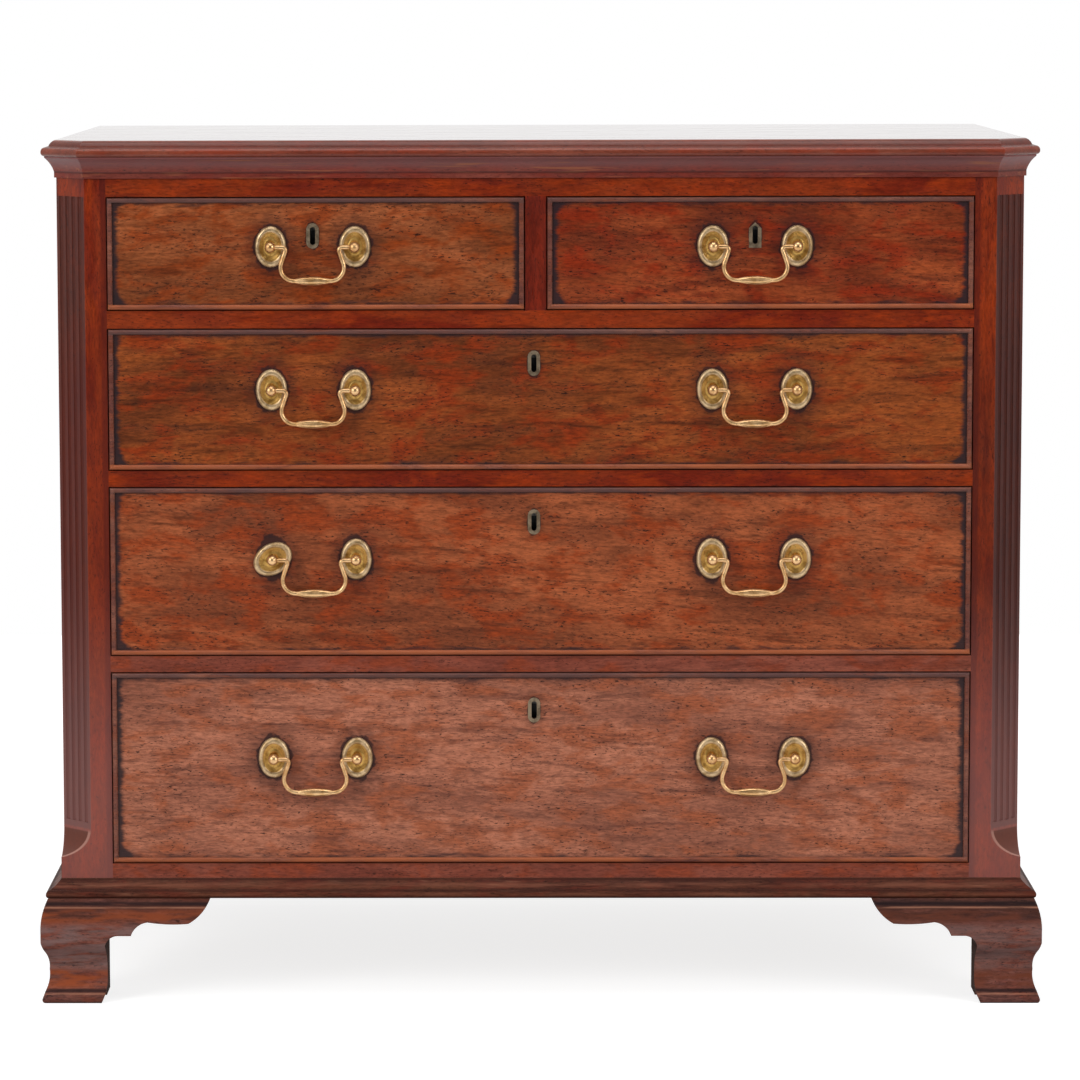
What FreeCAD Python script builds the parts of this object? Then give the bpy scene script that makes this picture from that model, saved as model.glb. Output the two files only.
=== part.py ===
# A Georgian straight-front chest of drawers: two short drawers over three long ones,
# canted and fluted front corners, a moulded top and ogee bracket feet.
# Millimetres.  +Z is up, +X is to the right of someone facing the chest, -Y is its front.
# The origin is on the floor under the middle of the whole chest.
import FreeCAD, Part
import operator
import os
import Sketcher
from math import atan2

doc = FreeCAD.newDocument("ChestOfDrawers")

# ---------------------------------------------------------------- driving dimensions
SIZES = {
    # carcass
    "case_width": 1016,              # across the two sides
    "case_depth": 535,               # from the front of the rails to the back
    "side_thickness": 18,
    "back_thickness": 12,
    "back_rabbet": 10,               # how far the back boards lap behind each side
    "rail_depth": 45,                # front to back, rails, posts and centre divider alike
    "stile_width": 22.5,             # plain strip between the cant and the drawers
    "cant_width": 32,                # how much the front corners are cut back, each way
    "divider_width": 22,
    "divider_offset": -4.5,          # the divider stands a little left of the middle
    # heights, from the floor up
    "foot_height": 112,
    "bottom_rail_height": 35,
    "lower_opening": 205,
    "middle_opening": 179.7,
    "upper_opening": 149.8,
    "short_opening": 119.3,
    "long_rail_thickness": 17,
    "short_rail_thickness": 18.5,
    "frieze_height": 19.2,
    "cornice_height": 22.5,
    "top_thickness": 17,
    # inside the carcass
    "bottom_thickness": 16,
    "dustboard_thickness": 8,
    "groove_depth": 6,               # dustboards stand this far into their runners
    "runner_bearing": 30,            # how far a runner reaches in under a drawer
    "kicker_height": 22,
    "guide_height": 20,
    "stop_length": 24,
    "stop_width": 40,
    "stop_height": 5,
    "stop_inset": 70,                # from the end of a drawer to its stop
    # canted corner posts
    "cant_foot": 182,                # height at which the cant runs out in a scoop
    "cant_scoop": 29.3,              # radius of that scoop
    "flute_margin": 8,               # plain cant left under the flutes
    "flute_radius": 3.6,
    "flute_depth": 1.8,
    # moulded top
    "top_overhang": 15.6,
    "top_arris": 0.5,                # overhang of the top's upper arris
    "top_ovolo_drop": 6.6,
    "top_ovolo_reach": 7.6,
    "top_bead_reach": 10.6,
    "top_bead_drop": 7.8,
    "top_bead_foot": 12.4,
    # cavetto moulding under the top
    "cornice_head": 12,
    "cornice_head_band": 1.6,
    "cornice_foot": 2.2,
    "cornice_foot_band": 6,
    # base moulding
    "base_moulding_height": 19.5,
    "base_moulding_reach": 15.4,
    "base_slope_reach": 9.6,
    "base_slope_drop": 9.6,
    "base_bead_head": 11.2,
    "base_bead_drop": 11.2,
    "base_bead_foot": 12.4,
    # ogee bracket feet, measured out from the faces of the carcass
    "foot_head": 13.4,
    "foot_swell": 21.1,
    "foot_swell_height": 78,
    "foot_turn": 16.8,
    "foot_turn_height": 55,
    "foot_waist": 12.6,
    "foot_waist_height": 36,
    "foot_pad": 16.8,
    "foot_pad_height": 13,
    "foot_toe": 19.8,
    "foot_toe_height": 5,
    "foot_sole": 17.6,
    "foot_inset": 8,                 # inner face of a bracket, in from the carcass
    "leg_sole": 42.6,
    "leg_width": 49,
    "leg_swell_height": 31,
    "leg_neck": 47,
    "leg_neck_height": 62,
    "bracket_cove": 61,
    "bracket_cusp": 74.6,
    "bracket_cusp_height": 73,
    "bracket_rise": 92.5,
    "bracket_rise_height": 87.5,
    "bracket_lobe": 135.5,
    "bracket_lobe_height": 86,
    "bracket_length": 158.5,
    "rear_bracket_thickness": 16,
    "rear_bracket_length": 120,
    "foot_block": 38,
    "foot_block_lift": 3,
    # drawers
    "drawer_gap": 1.2,               # round the edge of a drawer front
    "slide_clearance": 0.3,          # between a drawer and what it runs on
    "front_thickness": 20,
    "front_lap": 10,                 # wood in front of the drawer sides
    "drawer_side": 9.5,
    "drawer_side_drop": 2,           # sides end below the top of the front
    "drawer_back": 9,
    "drawer_back_drop": 10,
    "drawer_bottom": 7,
    "bottom_lift": 7,                # underside of the bottom above the foot of the sides
    "bottom_groove": 5,
    "drawer_rear_gap": 14,           # from the drawer's back to the back boards
    "bead_width": 5.2,
    "bead_proud": 3,
    "bead_rabbet": 8,
    # locks and keyholes
    "hardware_offset": -6.5,         # locks and handles sit a little left of the middle
    "short_key_drop": 41,            # keyhole's middle below the top of the opening
    "upper_key_drop": 37,
    "middle_key_drop": 37.5,
    "lower_key_drop": 40.8,
    "key_width": 5.5,
    "key_height": 18.7,
    "escutcheon_width": 13,
    "escutcheon_height": 26.5,
    "escutcheon_depth": 3,
    "escutcheon_proud": 0.4,
    "escutcheon_point": 6,
    "lock_width": 54,
    "lock_below_key": 16,
    "lock_plate": 2,                 # wall in front of the works
    "lock_lip_width": 66,
    "lock_lip": 3,
    "key_chamber": 9,                # radius that the key's bit turns in
    "bolt_width": 20,
    "bolt_thickness": 4.5,
    "bolt_clearance": 0.3,
    "bolt_travel": 8,
    "bolt_tail": 5,                  # foot of the bolt above the keyhole's middle
    "mortise_margin": 1,
    # swan-neck handles
    "handle_spread": 231,            # from the line of the locks to a handle's middle
    "short_handle_drop": 52.3,       # handle posts below the top of the opening
    "upper_handle_drop": 64.5,
    "middle_handle_drop": 76.5,
    "lower_handle_drop": 91.5,
    "post_spacing": 88,
    "post_stand": 12,                # axis of the bail in front of the drawer
    "post_ball": 5.6,
    "post_root": 4.4,
    "post_neck": 3,
    "post_neck_length": 5,
    "shank_radius": 2.4,
    "shank_clearance": 0.2,
    "nut_size": 10,
    "nut_thickness": 3,
    "rosette_width": 33,
    "rosette_height": 43.5,
    "rosette_rise": 5,               # of the whole oval, before the dish is sunk into it
    "dish_width": 27.2,
    "dish_height": 36.4,
    "dish_depth": 3.8,
    "pin_radius": 2,
    "pin_clearance": 0.08,
    "pin_reach": 3,                  # past the middle of the ball
    "pin_end_gap": 0.3,
    "shank_tail": 1,                 # shank beyond its nut
    "bail_radius": 2.3,
    "bail_gap": 0.5,                 # shoulder of the bail off the ball
    "bail_shoulder": 28,             # innermost reach of the swan neck
    "bail_neck_bend": 3.4,
    "bail_reach": 33,
    "bail_hip_bend": 14,
    "bail_drop": 35.2,
    "grip_length": 40,
    "grip_height": 9.4,
    "grip_end": 1.8,                 # radius at which the swelling dies into the wire
}

FLUTE_COUNT = 4
BACK_BOARD_COUNT = 4

sheet = doc.addObject("Spreadsheet::Sheet", "Sizes")
for row, (alias, amount) in enumerate(SIZES.items(), start=1):
    sheet.set(f"A{row}", alias)
    sheet.set(f"B{row}", str(amount))
    sheet.setAlias(f"B{row}", alias)
doc.recompute()


# ---------------------------------------------------------------- sizes that keep their formula
OPERATIONS = {"+": operator.add, "-": operator.sub, "*": operator.mul, "/": operator.truediv}


class Size:
    """A length, with the formula in cells of the sheet that it comes from."""

    def __init__(self, value, formula=None):
        self.value = float(value)
        self.formula = formula or f"({self.value!r})"

    def joined(self, sign, other, swapped=False):
        other = sized(other)
        left, right = (other, self) if swapped else (self, other)
        value = OPERATIONS[sign](left.value, right.value)
        return Size(value, f"({left.formula} {sign} {right.formula})")

    def __add__(self, other):
        return self.joined("+", other)

    def __radd__(self, other):
        return self.joined("+", other, swapped=True)

    def __sub__(self, other):
        return self.joined("-", other)

    def __rsub__(self, other):
        return self.joined("-", other, swapped=True)

    def __mul__(self, other):
        return self.joined("*", other)

    def __rmul__(self, other):
        return self.joined("*", other, swapped=True)

    def __truediv__(self, other):
        return self.joined("/", other)

    def __neg__(self):
        return Size(-self.value, f"(0 - {self.formula})")

    def root(self):
        return Size(self.value ** 0.5, f"sqrt({self.formula})")


def sized(amount):
    return amount if isinstance(amount, Size) else Size(amount)


class Cells:
    """The sheet's cells by name, each as a Size."""

    def __getattr__(self, alias):
        return Size(sheet.get(alias), f"Sizes.{alias}")


size = Cells()
ROOT_2 = Size(2).root()


# ---------------------------------------------------------------- helpers
def bind(thing, path, amount):
    """Tie one property of an object to the sheet."""
    thing.setExpression(path, sized(amount).formula)


def place(thing, x, y, z, turn=0, axis=(0, 0, 1)):
    """Stand an object at x, y, z, with y counted back from the front of the carcass."""
    thing.Placement = FreeCAD.Placement(FreeCAD.Vector(), FreeCAD.Rotation(FreeCAD.Vector(*axis), turn))
    bind(thing, "Placement.Base.x", x)
    bind(thing, "Placement.Base.y", front + y)
    bind(thing, "Placement.Base.z", z)
    return thing


def box(name, low, high):
    """A board between two opposite corners."""
    board = doc.addObject("Part::Box", name)
    for edge, start, end in zip(("Length", "Width", "Height"), low, high):
        bind(board, edge, sized(end) - start)
    return place(board, *low)


def cylinder(name, radius, length, x, y, z, turn=0, axis=(1, 0, 0)):
    rod = doc.addObject("Part::Cylinder", name)
    bind(rod, "Radius", radius)
    bind(rod, "Height", length)
    return place(rod, x, y, z, turn, axis)


def drill(name, radius, x, z, start, end):
    """A rod along Y from start to end."""
    return cylinder(name, radius, sized(end) - start, x, start, z, turn=-90)


def cut(name, body, *tools):
    tool = tools[0] if len(tools) == 1 else fuse(name + "_tools", *tools)
    result = doc.addObject("Part::Cut", name)
    result.Base = body
    result.Tool = tool
    return result


def fuse(name, *parts):
    result = doc.addObject("Part::MultiFuse", name)
    result.Shapes = list(parts)
    return result


def common(name, *parts):
    result = doc.addObject("Part::MultiCommon", name)
    result.Shapes = list(parts)
    return result


def mirrored(name, piece):
    """The same piece on the other side of the chest."""
    result = doc.addObject("Part::Mirroring", name)
    result.Source = piece
    result.Normal = FreeCAD.Vector(1, 0, 0)
    return result


def new_sketch(body, name, plane, start):
    """An empty sketch on one of a body's own origin planes, moved along its normal."""
    support = [part for part in body.Origin.OriginFeatures if part.Role == plane + "_Plane"]
    sketch = body.newObject("Sketcher::SketchObject", name)
    sketch.AttachmentSupport = [(support[0], "")]
    sketch.MapMode = "FlatFace"
    bind(sketch, "AttachmentOffset.Base.z", start)
    return sketch


def draw(sketch, outline, closed=True):
    """Join points with lines and arcs.  Each point is (across, up) at the end of a line,
    (across, up, bulge) at the end of an arc, whose bulge is its rise to the right in half
    chords, or (across, up, centre_across, centre_up, sense), sense being 1 or -1."""
    points = [(sized(point[0]), sized(point[1])) for point in outline]
    ends = []
    for index, point in enumerate(outline):
        if index == 0 and not closed:
            continue
        chord = (*points[index - 1], *points[index])
        if len(point) == 2:
            ends.append(add_line(sketch, *chord))
        elif len(point) == 3:
            ends.append(add_arc(sketch, *chord, *centre_of(*chord, point[2]), point[2]))
        else:
            ends.append(add_arc(sketch, *chord, *point[2:]))
    for index, (side, head, _) in enumerate(ends):
        start = points[index - 1] if closed else points[index]
        fix_point(sketch, side, head, *start)
        if index > 0:
            before, _, tail = ends[index - 1]
            sketch.addConstraint(Sketcher.Constraint("Coincident", before, tail, side, head))
    side, _, tail = ends[-1]
    if closed:
        sketch.addConstraint(Sketcher.Constraint("Coincident", side, tail, *ends[0][:2]))
    else:
        fix_point(sketch, side, tail, *points[-1])


def add_line(sketch, x1, y1, x2, y2):
    first = FreeCAD.Vector(x1.value, y1.value)
    last = FreeCAD.Vector(x2.value, y2.value)
    return sketch.addGeometry(Part.LineSegment(first, last), False), 1, 2


def centre_of(x1, y1, x2, y2, bulge):
    stand_off = (1 - bulge ** 2) / (2 * bulge)
    return (x1 + x2) / 2 - (y2 - y1) / 2 * stand_off, (y1 + y2) / 2 + (x2 - x1) / 2 * stand_off


def add_arc(sketch, x1, y1, x2, y2, centre_x, centre_y, sense):
    """An arc held by its ends and by one coordinate of its centre; sense > 0 turns left."""
    first = FreeCAD.Vector(x1.value, y1.value)
    last = FreeCAD.Vector(x2.value, y2.value)
    centre = FreeCAD.Vector(centre_x.value, centre_y.value)
    start, end = (first, last) if sense > 0 else (last, first)
    angles = [atan2(point.y - centre.y, point.x - centre.x) for point in (start, end)]
    circle = Part.Circle(centre, FreeCAD.Vector(0, 0, 1), centre.distanceToPoint(first))
    arc = sketch.addGeometry(Part.ArcOfCircle(circle, *angles), False)
    if abs(last.x - first.x) > abs(last.y - first.y):
        fix_point(sketch, arc, 3, None, centre_y)
    else:
        fix_point(sketch, arc, 3, centre_x, None)
    return (arc, 1, 2) if sense > 0 else (arc, 2, 1)


def fix_point(sketch, geometry, point, x, y):
    for kind, amount in (("DistanceX", x), ("DistanceY", y)):
        if amount is not None:
            constraint = Sketcher.Constraint(kind, -1, 1, geometry, point, amount.value)
            index = sketch.addConstraint(constraint)
            bind(sketch, f"Constraints[{index}]", amount)


def prism(name, plane, outline, start, length):
    """A sketch padded along X, Y (backwards) or Z, from start over a length."""
    body = doc.addObject("PartDesign::Body", name)
    backwards = plane == "XZ"
    sketch = new_sketch(body, name + "_sketch", plane, -sized(start) if backwards else start)
    draw(sketch, outline)
    pad = body.newObject("PartDesign::Pad", name + "_pad")
    pad.Profile = sketch
    pad.Reversed = backwards
    bind(pad, "Length", length)
    return place(body, 0, 0, 0)


nodes = []


def node(name, *solids):
    """Hand over one sub-part, or a group of like ones, under its own name."""
    piece = solids[0]
    if len(solids) > 1 or piece.TypeId == "App::Link":
        piece = doc.addObject("Part::Compound", name + "_set")
        piece.Links = list(solids)
    piece.Label = name
    nodes.append(piece)


def repeat(name, pattern, x, z, turn=0):
    """One more of a piece made at x = z = 0, turned about its own axis along Y."""
    link = doc.addObject("App::Link", name)
    link.LinkedObject = pattern
    link.Placement = FreeCAD.Placement(FreeCAD.Vector(), FreeCAD.Rotation(FreeCAD.Vector(0, 1, 0), turn))
    bind(link, "Placement.Base.x", x)
    bind(link, "Placement.Base.z", z)
    return link


# ---------------------------------------------------------------- places that several pieces share
front = (size.foot_swell - size.case_depth) / 2      # of the carcass; its bounding box is centred
half_case = size.case_width / 2
side_inner = half_case - size.side_thickness
half_opening = half_case - size.cant_width - size.stile_width
back_inner = size.case_depth - size.back_thickness

lower_floor = size.foot_height + size.bottom_rail_height
lower_ceiling = lower_floor + size.lower_opening
middle_floor = lower_ceiling + size.long_rail_thickness
middle_ceiling = middle_floor + size.middle_opening
upper_floor = middle_ceiling + size.long_rail_thickness
upper_ceiling = upper_floor + size.upper_opening
short_floor = upper_ceiling + size.short_rail_thickness
short_ceiling = short_floor + size.short_opening
frieze_top = short_ceiling + size.frieze_height
case_top = frieze_top + size.cornice_height
overall_height = case_top + size.top_thickness

divider_left = size.divider_offset - size.divider_width / 2
divider_right = size.divider_offset + size.divider_width / 2
handle_left = size.hardware_offset - size.handle_spread
handle_right = size.hardware_offset + size.handle_spread
bolt_front = size.front_lap + size.lock_plate + size.bolt_clearance
bolt_back = bolt_front + size.bolt_thickness
nut_back = size.front_thickness + size.nut_thickness


class Drawer:
    """The edges of one drawer's front, and where its keyhole and its handles come."""

    def __init__(self, name, opening, key_x, key_drop, handles, handle_drop, pointed=False):
        left, right, floor, ceiling = opening
        self.name = name
        self.left = left + size.drawer_gap
        self.right = right - size.drawer_gap
        self.foot = floor + size.drawer_gap
        self.head = ceiling - size.drawer_gap
        self.floor = floor
        self.key_x = key_x
        self.key_z = ceiling - key_drop
        self.handles = handles
        self.handle_z = ceiling - handle_drop
        self.pointed = pointed


DRAWERS = [
    Drawer("left_short_drawer", (-half_opening, divider_left, short_floor, short_ceiling),
           handle_left, size.short_key_drop, {"bail": handle_left}, size.short_handle_drop),
    Drawer("right_short_drawer", (divider_right, half_opening, short_floor, short_ceiling),
           handle_right, size.short_key_drop, {"bail": handle_right}, size.short_handle_drop,
           pointed=True),
]
for level, floor_height, ceiling_height, keyhole_drop, post_drop in (
        ("upper", upper_floor, upper_ceiling, size.upper_key_drop, size.upper_handle_drop),
        ("middle", middle_floor, middle_ceiling, size.middle_key_drop, size.middle_handle_drop),
        ("lower", lower_floor, lower_ceiling, size.lower_key_drop, size.lower_handle_drop)):
    DRAWERS.append(Drawer(f"{level}_long_drawer",
                          (-half_opening, half_opening, floor_height, ceiling_height),
                          size.hardware_offset, keyhole_drop,
                          {"left_bail": handle_left, "right_bail": handle_right}, post_drop))
LEFT_SHORT, RIGHT_SHORT, UPPER_LONG, MIDDLE_LONG, LOWER_LONG = DRAWERS


# ---------------------------------------------------------------- edges of the carcass
def edge_run(name, edge, profile):
    """A profile (out from the edge, up) run along one edge, well past both its ends."""
    turn, x, y = {
        "front": (0, 0, 0),
        "left_cant": (-45, size.cant_width / 2 - half_case, size.cant_width / 2),
        "left_side": (-90, -half_case, 0),
    }[edge]
    outline = [(-sized(out), up, *[-bulge for bulge in rest]) for out, up, *rest in profile]
    run = prism(name, "YZ", outline, -size.case_width, 2 * size.case_width)
    return place(run, x, y, 0, turn)


def mitred_length(name, edge, profile, plan):
    """A length of moulding on one edge of the carcass, cut to a plan with mitred ends."""
    run = edge_run(name + "_run", edge, profile)
    return common(name, run, prism(name + "_plan", "XY", plan, 0, overall_height))


def top_board():
    """One board; its edge is an ovolo over a bead, canted at the front corners."""
    inside = -2 * size.case_width
    profile = [
        (inside, case_top),
        (size.top_bead_foot, case_top),
        (size.top_overhang, case_top + (size.top_thickness - size.top_bead_drop) / 2, 0.4),
        (size.top_bead_reach, overall_height - size.top_bead_drop, 0.45),
        (size.top_ovolo_reach, overall_height - size.top_ovolo_drop),
        (size.top_arris, overall_height, 0.24),
        (inside, overall_height),
    ]
    blank = box("top_blank", (-size.case_width, -size.case_depth, case_top),
                (size.case_width, size.case_depth, overall_height))
    cant = edge_run("top_cant", "left_cant", profile)
    side = edge_run("top_side", "left_side", profile)
    node("top_board", common("top_board", blank, edge_run("top_front", "front", profile),
                             cant, side, mirrored("top_right_cant", cant),
                             mirrored("top_right_side", side)))


def cornice_moulding():
    """Cavetto moulding in five mitred lengths under the top."""
    reach = size.cornice_head
    profile = [
        (0, frieze_top),
        (size.cornice_foot, frieze_top),
        (size.cornice_foot, frieze_top + size.cornice_foot_band),
        (reach, case_top - size.cornice_head_band, -0.16),
        (reach, case_top),
        (0, case_top),
    ]
    shoulder = half_case - size.cant_width
    step = reach * (ROOT_2 - 1)                      # sideways, over a half turn of 45 degrees
    front_length = mitred_length("cornice_front", "front", profile, [
        (-shoulder, 0), (shoulder, 0), (shoulder + step, -reach), (-shoulder - step, -reach)])
    cant = mitred_length("cornice_left_cant", "left_cant", profile, [
        (-half_case, size.cant_width), (-shoulder, 0), (-shoulder - step, -reach),
        (-half_case - reach, size.cant_width - step)])
    side = mitred_length("cornice_left_side", "left_side", profile, [
        (-half_case, size.cant_width), (-half_case - reach, size.cant_width - step),
        (-half_case - reach, size.case_depth), (-half_case, size.case_depth)])
    node("cornice_moulding", front_length, cant, side, mirrored("cornice_right_cant", cant),
         mirrored("cornice_right_side", side))


def base_moulding():
    """A sloping hollow over a bead, in three lengths mitred at the square lower corners."""
    reach = size.base_moulding_reach
    head = size.foot_height + size.base_moulding_height
    bead_head = head - size.base_bead_drop
    profile = [
        (0, size.foot_height),
        (size.base_bead_foot, size.foot_height),
        (reach, (size.foot_height + bead_head) / 2, 0.4),
        (size.base_bead_head, bead_head, 0.45),
        (size.base_slope_reach, head - size.base_slope_drop),
        (0, head, -0.12),
    ]
    front_length = mitred_length("base_front", "front", profile, [
        (-half_case, 0), (half_case, 0), (half_case + reach, -reach), (-half_case - reach, -reach)])
    side = mitred_length("base_left_side", "left_side", profile, [
        (-half_case, 0), (-half_case - reach, -reach), (-half_case - reach, size.case_depth),
        (-half_case, size.case_depth)])
    node("base_moulding", front_length, side, mirrored("base_right_side", side))


# ---------------------------------------------------------------- carcass
def corner_posts():
    """Post with stile and cant in one; the flutes and the scoop at the foot are cut in."""
    blank = box("post_blank", (half_opening, 0, size.foot_height),
                (half_case, size.rail_depth, case_top))
    diagonal = size.cant_width / ROOT_2              # from the square corner in to the cant
    reach = 2 * size.cant_width
    cant = doc.addObject("Part::Box", "cant_cutter")
    bind(cant, "Length", reach)
    bind(cant, "Width", 2 * reach)
    bind(cant, "Height", case_top)
    place(cant, half_case - (diagonal + reach) / ROOT_2, (diagonal - reach) / ROOT_2,
          size.cant_foot, -45)
    scoop_depth = (diagonal - size.cant_scoop) / ROOT_2
    cutters = [cant, cylinder("cant_scoop_cutter", size.cant_scoop, 2 * reach,
                              half_case - scoop_depth - reach / ROOT_2,
                              scoop_depth - reach / ROOT_2, size.cant_foot, 90, (-1, 1, 0))]
    pitch = size.cant_width * ROOT_2 / (FLUTE_COUNT + 0.5)
    proud = size.flute_radius - size.flute_depth
    foot = size.cant_foot + size.flute_margin
    for index in range(FLUTE_COUNT):
        along = (index - (FLUTE_COUNT - 1) / 2) * pitch
        cutters.append(cylinder(f"flute_{index + 1}", size.flute_radius, short_ceiling - foot,
                                half_case - size.cant_width / 2 + (along + proud) / ROOT_2,
                                size.cant_width / 2 + (along - proud) / ROOT_2, foot))
    post = cut("right_post", blank, *cutters)
    node("left_corner_post", mirrored("left_post", post))
    node("right_corner_post", post)


def case_sides():
    """Side boards, rabbeted behind for the back boards."""
    rabbet = side_inner + size.back_rabbet
    board = prism("right_board", "XY", [
        (side_inner, size.rail_depth), (half_case, size.rail_depth), (half_case, size.case_depth),
        (rabbet, size.case_depth), (rabbet, back_inner), (side_inner, back_inner),
    ], size.foot_height, case_top - size.foot_height)
    node("left_side", mirrored("left_board", board))
    node("right_side", board)


def rails():
    """Five rails between the posts.  Those above a lock are mortised for its bolt."""
    for name, foot, head, locked in (
            ("bottom_rail", size.foot_height, lower_floor, []),
            ("lower_long_rail", lower_ceiling, middle_floor, [LOWER_LONG]),
            ("upper_long_rail", middle_ceiling, upper_floor, [MIDDLE_LONG]),
            ("short_drawer_rail", upper_ceiling, short_floor, [UPPER_LONG]),
            ("top_rail", short_ceiling, case_top, [LEFT_SHORT, RIGHT_SHORT])):
        rail = box(f"{name}_blank", (-half_opening, 0, foot), (half_opening, size.rail_depth, head))
        half_mortise = size.bolt_width / 2 + size.mortise_margin
        mortises = [
            box(f"{drawer.name}_mortise",
                (drawer.key_x - half_mortise, bolt_front - size.mortise_margin, foot),
                (drawer.key_x + half_mortise, bolt_back + size.mortise_margin,
                 foot + size.bolt_travel))
            for drawer in locked]
        node(name, cut(name, rail, *mortises) if mortises else rail)


def centre_divider():
    """The upright between the short drawers, and the partition that runs back from it."""
    node("centre_divider",
         box("divider_upright", (divider_left, 0, short_floor),
             (divider_right, size.rail_depth, short_ceiling)),
         box("divider_partition", (divider_left, size.rail_depth, short_floor),
             (divider_right, back_inner, short_ceiling)))


def inner_bar(name, left, right, foot, head):
    """A piece that runs from the rails to the back boards."""
    return box(name, (left, size.rail_depth, foot), (right, back_inner, head))


def runners_and_dustboards():
    """Runners level with the rails, grooved for the dustboards, and what guides the drawers."""
    inner = half_opening - size.runner_bearing
    groove = inner + size.groove_depth
    centre_left = divider_left - size.runner_bearing
    centre_right = divider_right + size.runner_bearing
    panels = {}
    left_pieces = []
    for name, foot, head in (("lower", lower_ceiling, middle_floor),
                             ("middle", middle_ceiling, upper_floor),
                             ("upper", upper_ceiling, short_floor)):
        low = (foot + head - size.dustboard_thickness) / 2
        high = low + size.dustboard_thickness
        if name == "upper":
            centre_panels = [
                inner_bar("upper_left_dustboard", -groove, centre_left + size.groove_depth, low, high),
                inner_bar("upper_right_dustboard", centre_right - size.groove_depth, groove, low, high)]
            centre_blank = inner_bar("centre_runner_blank", centre_left, centre_right, foot, head)
            panels[name] = centre_panels
        else:
            panels[name] = [inner_bar(f"{name}_dustboard", -groove, groove, low, high)]
        blank = inner_bar(f"{name}_runner_blank", -side_inner, -inner, foot, head)
        left_pieces.append(cut(f"{name}_runner", blank, panels[name][0]))
    for name, foot in (("lower", lower_floor), ("middle", middle_floor),
                       ("upper", upper_floor), ("short", short_floor)):
        left_pieces.append(inner_bar(f"{name}_guide", -side_inner, -half_opening,
                                     foot, foot + size.guide_height))
    kicker_top = short_ceiling + size.kicker_height
    left_pieces.append(inner_bar("side_kicker", -side_inner, -inner, short_ceiling, kicker_top))
    pieces = left_pieces + [mirrored(f"right_{piece.Name}", piece) for piece in left_pieces]
    pieces.append(cut("centre_runner", centre_blank, *panels["upper"]))
    pieces.append(inner_bar("centre_kicker", centre_left, centre_right, short_ceiling, kicker_top))
    back_of_front = size.front_thickness + size.slide_clearance
    for drawer in DRAWERS:
        for side, x in (("left", drawer.left + size.stop_inset),
                        ("right", drawer.right - size.stop_inset - size.stop_width)):
            pieces.append(box(f"{drawer.name}_{side}_stop", (x, back_of_front, drawer.floor),
                              (x + size.stop_width, back_of_front + size.stop_length,
                               drawer.floor + size.stop_height)))
    node("drawer_runners", *pieces)
    node("dustboards", *[panel for level_panels in panels.values() for panel in level_panels])


def case_bottom():
    """The board that the lowest drawer runs on."""
    node("case_bottom", inner_bar("case_bottom", -side_inner, side_inner,
                                  lower_floor - size.bottom_thickness, lower_floor))


def back_boards():
    """Level boards nailed into the rabbets of the sides."""
    half_back = side_inner + size.back_rabbet
    rise = (case_top - size.foot_height) / BACK_BOARD_COUNT
    node("back_boards", *[
        box(f"back_board_{index + 1}", (-half_back, back_inner, size.foot_height + index * rise),
            (half_back, size.case_depth, size.foot_height + (index + 1) * rise))
        for index in range(BACK_BOARD_COUNT)])


# ---------------------------------------------------------------- bracket feet
OGEE = [
    # out from the face of the carcass, up from the floor
    (-size.foot_inset, 0),
    (size.foot_sole, 0),
    (size.foot_toe, size.foot_toe_height, 0.35),
    (size.foot_pad, size.foot_pad_height),
    (size.foot_waist, size.foot_waist_height, -0.15),
    (size.foot_turn, size.foot_turn_height, -0.17),
    (size.foot_swell, size.foot_swell_height, 0.2),
    (size.foot_head, size.foot_height, 0.12),
    (-size.foot_inset, size.foot_height),
]
BRACKET = [
    # in from the corner of the carcass, up from the floor
    (-2 * size.foot_swell, 0),
    (size.leg_sole, 0),
    (size.leg_width, size.leg_swell_height, 0.14),
    (size.leg_neck, size.leg_neck_height, 0.05),
    (size.bracket_cove, size.bracket_cusp_height, -0.36),
    (size.bracket_cusp, size.bracket_cusp_height),
    (size.bracket_rise, size.bracket_rise_height, -0.3),
    (size.bracket_lobe, size.bracket_lobe_height, 0.06),
    (size.bracket_length, size.foot_height, 0.18),
    (-2 * size.foot_swell, size.foot_height),
]


def side_bracket(name, outline, plan):
    """A bracket along the left side: the ogee, cut to its outline and its plan."""
    outer = half_case + size.foot_swell
    shape = prism(f"{name}_outline", "YZ", outline, -outer, size.foot_swell + size.foot_inset)
    run = edge_run(f"{name}_run", "left_side", OGEE)
    return common(name, run, shape, prism(f"{name}_plan", "XY", plan, 0, size.foot_height))


def glue_block(name, y):
    """The square block behind a pair of brackets, a little short of the floor."""
    inner = size.foot_inset - half_case
    return box(name, (inner, y, size.foot_block_lift),
               (inner + size.foot_block, y + size.foot_block, size.foot_height))


def front_foot():
    """Two ogee brackets mitred together at the left front corner, and their block."""
    inset, swell, length = size.foot_inset, size.foot_swell, size.bracket_length
    outer = -half_case - swell
    inner = inset - half_case
    shape = prism("front_bracket_outline", "XZ", [(u - half_case, *rest) for u, *rest in BRACKET],
                  -swell, swell + inset)
    plan = prism("front_bracket_plan", "XY", [
        (outer, -swell), (length - half_case, -swell), (length - half_case, inset),
        (inner, inset)], 0, size.foot_height)
    face = common("front_bracket", edge_run("front_bracket_run", "front", OGEE), shape, plan)
    back = side_bracket("return_bracket", BRACKET, [
        (outer, -swell), (inner, inset), (inner, length), (outer, length)])
    return [face, back, glue_block("front_glue_block", inset)]


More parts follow.
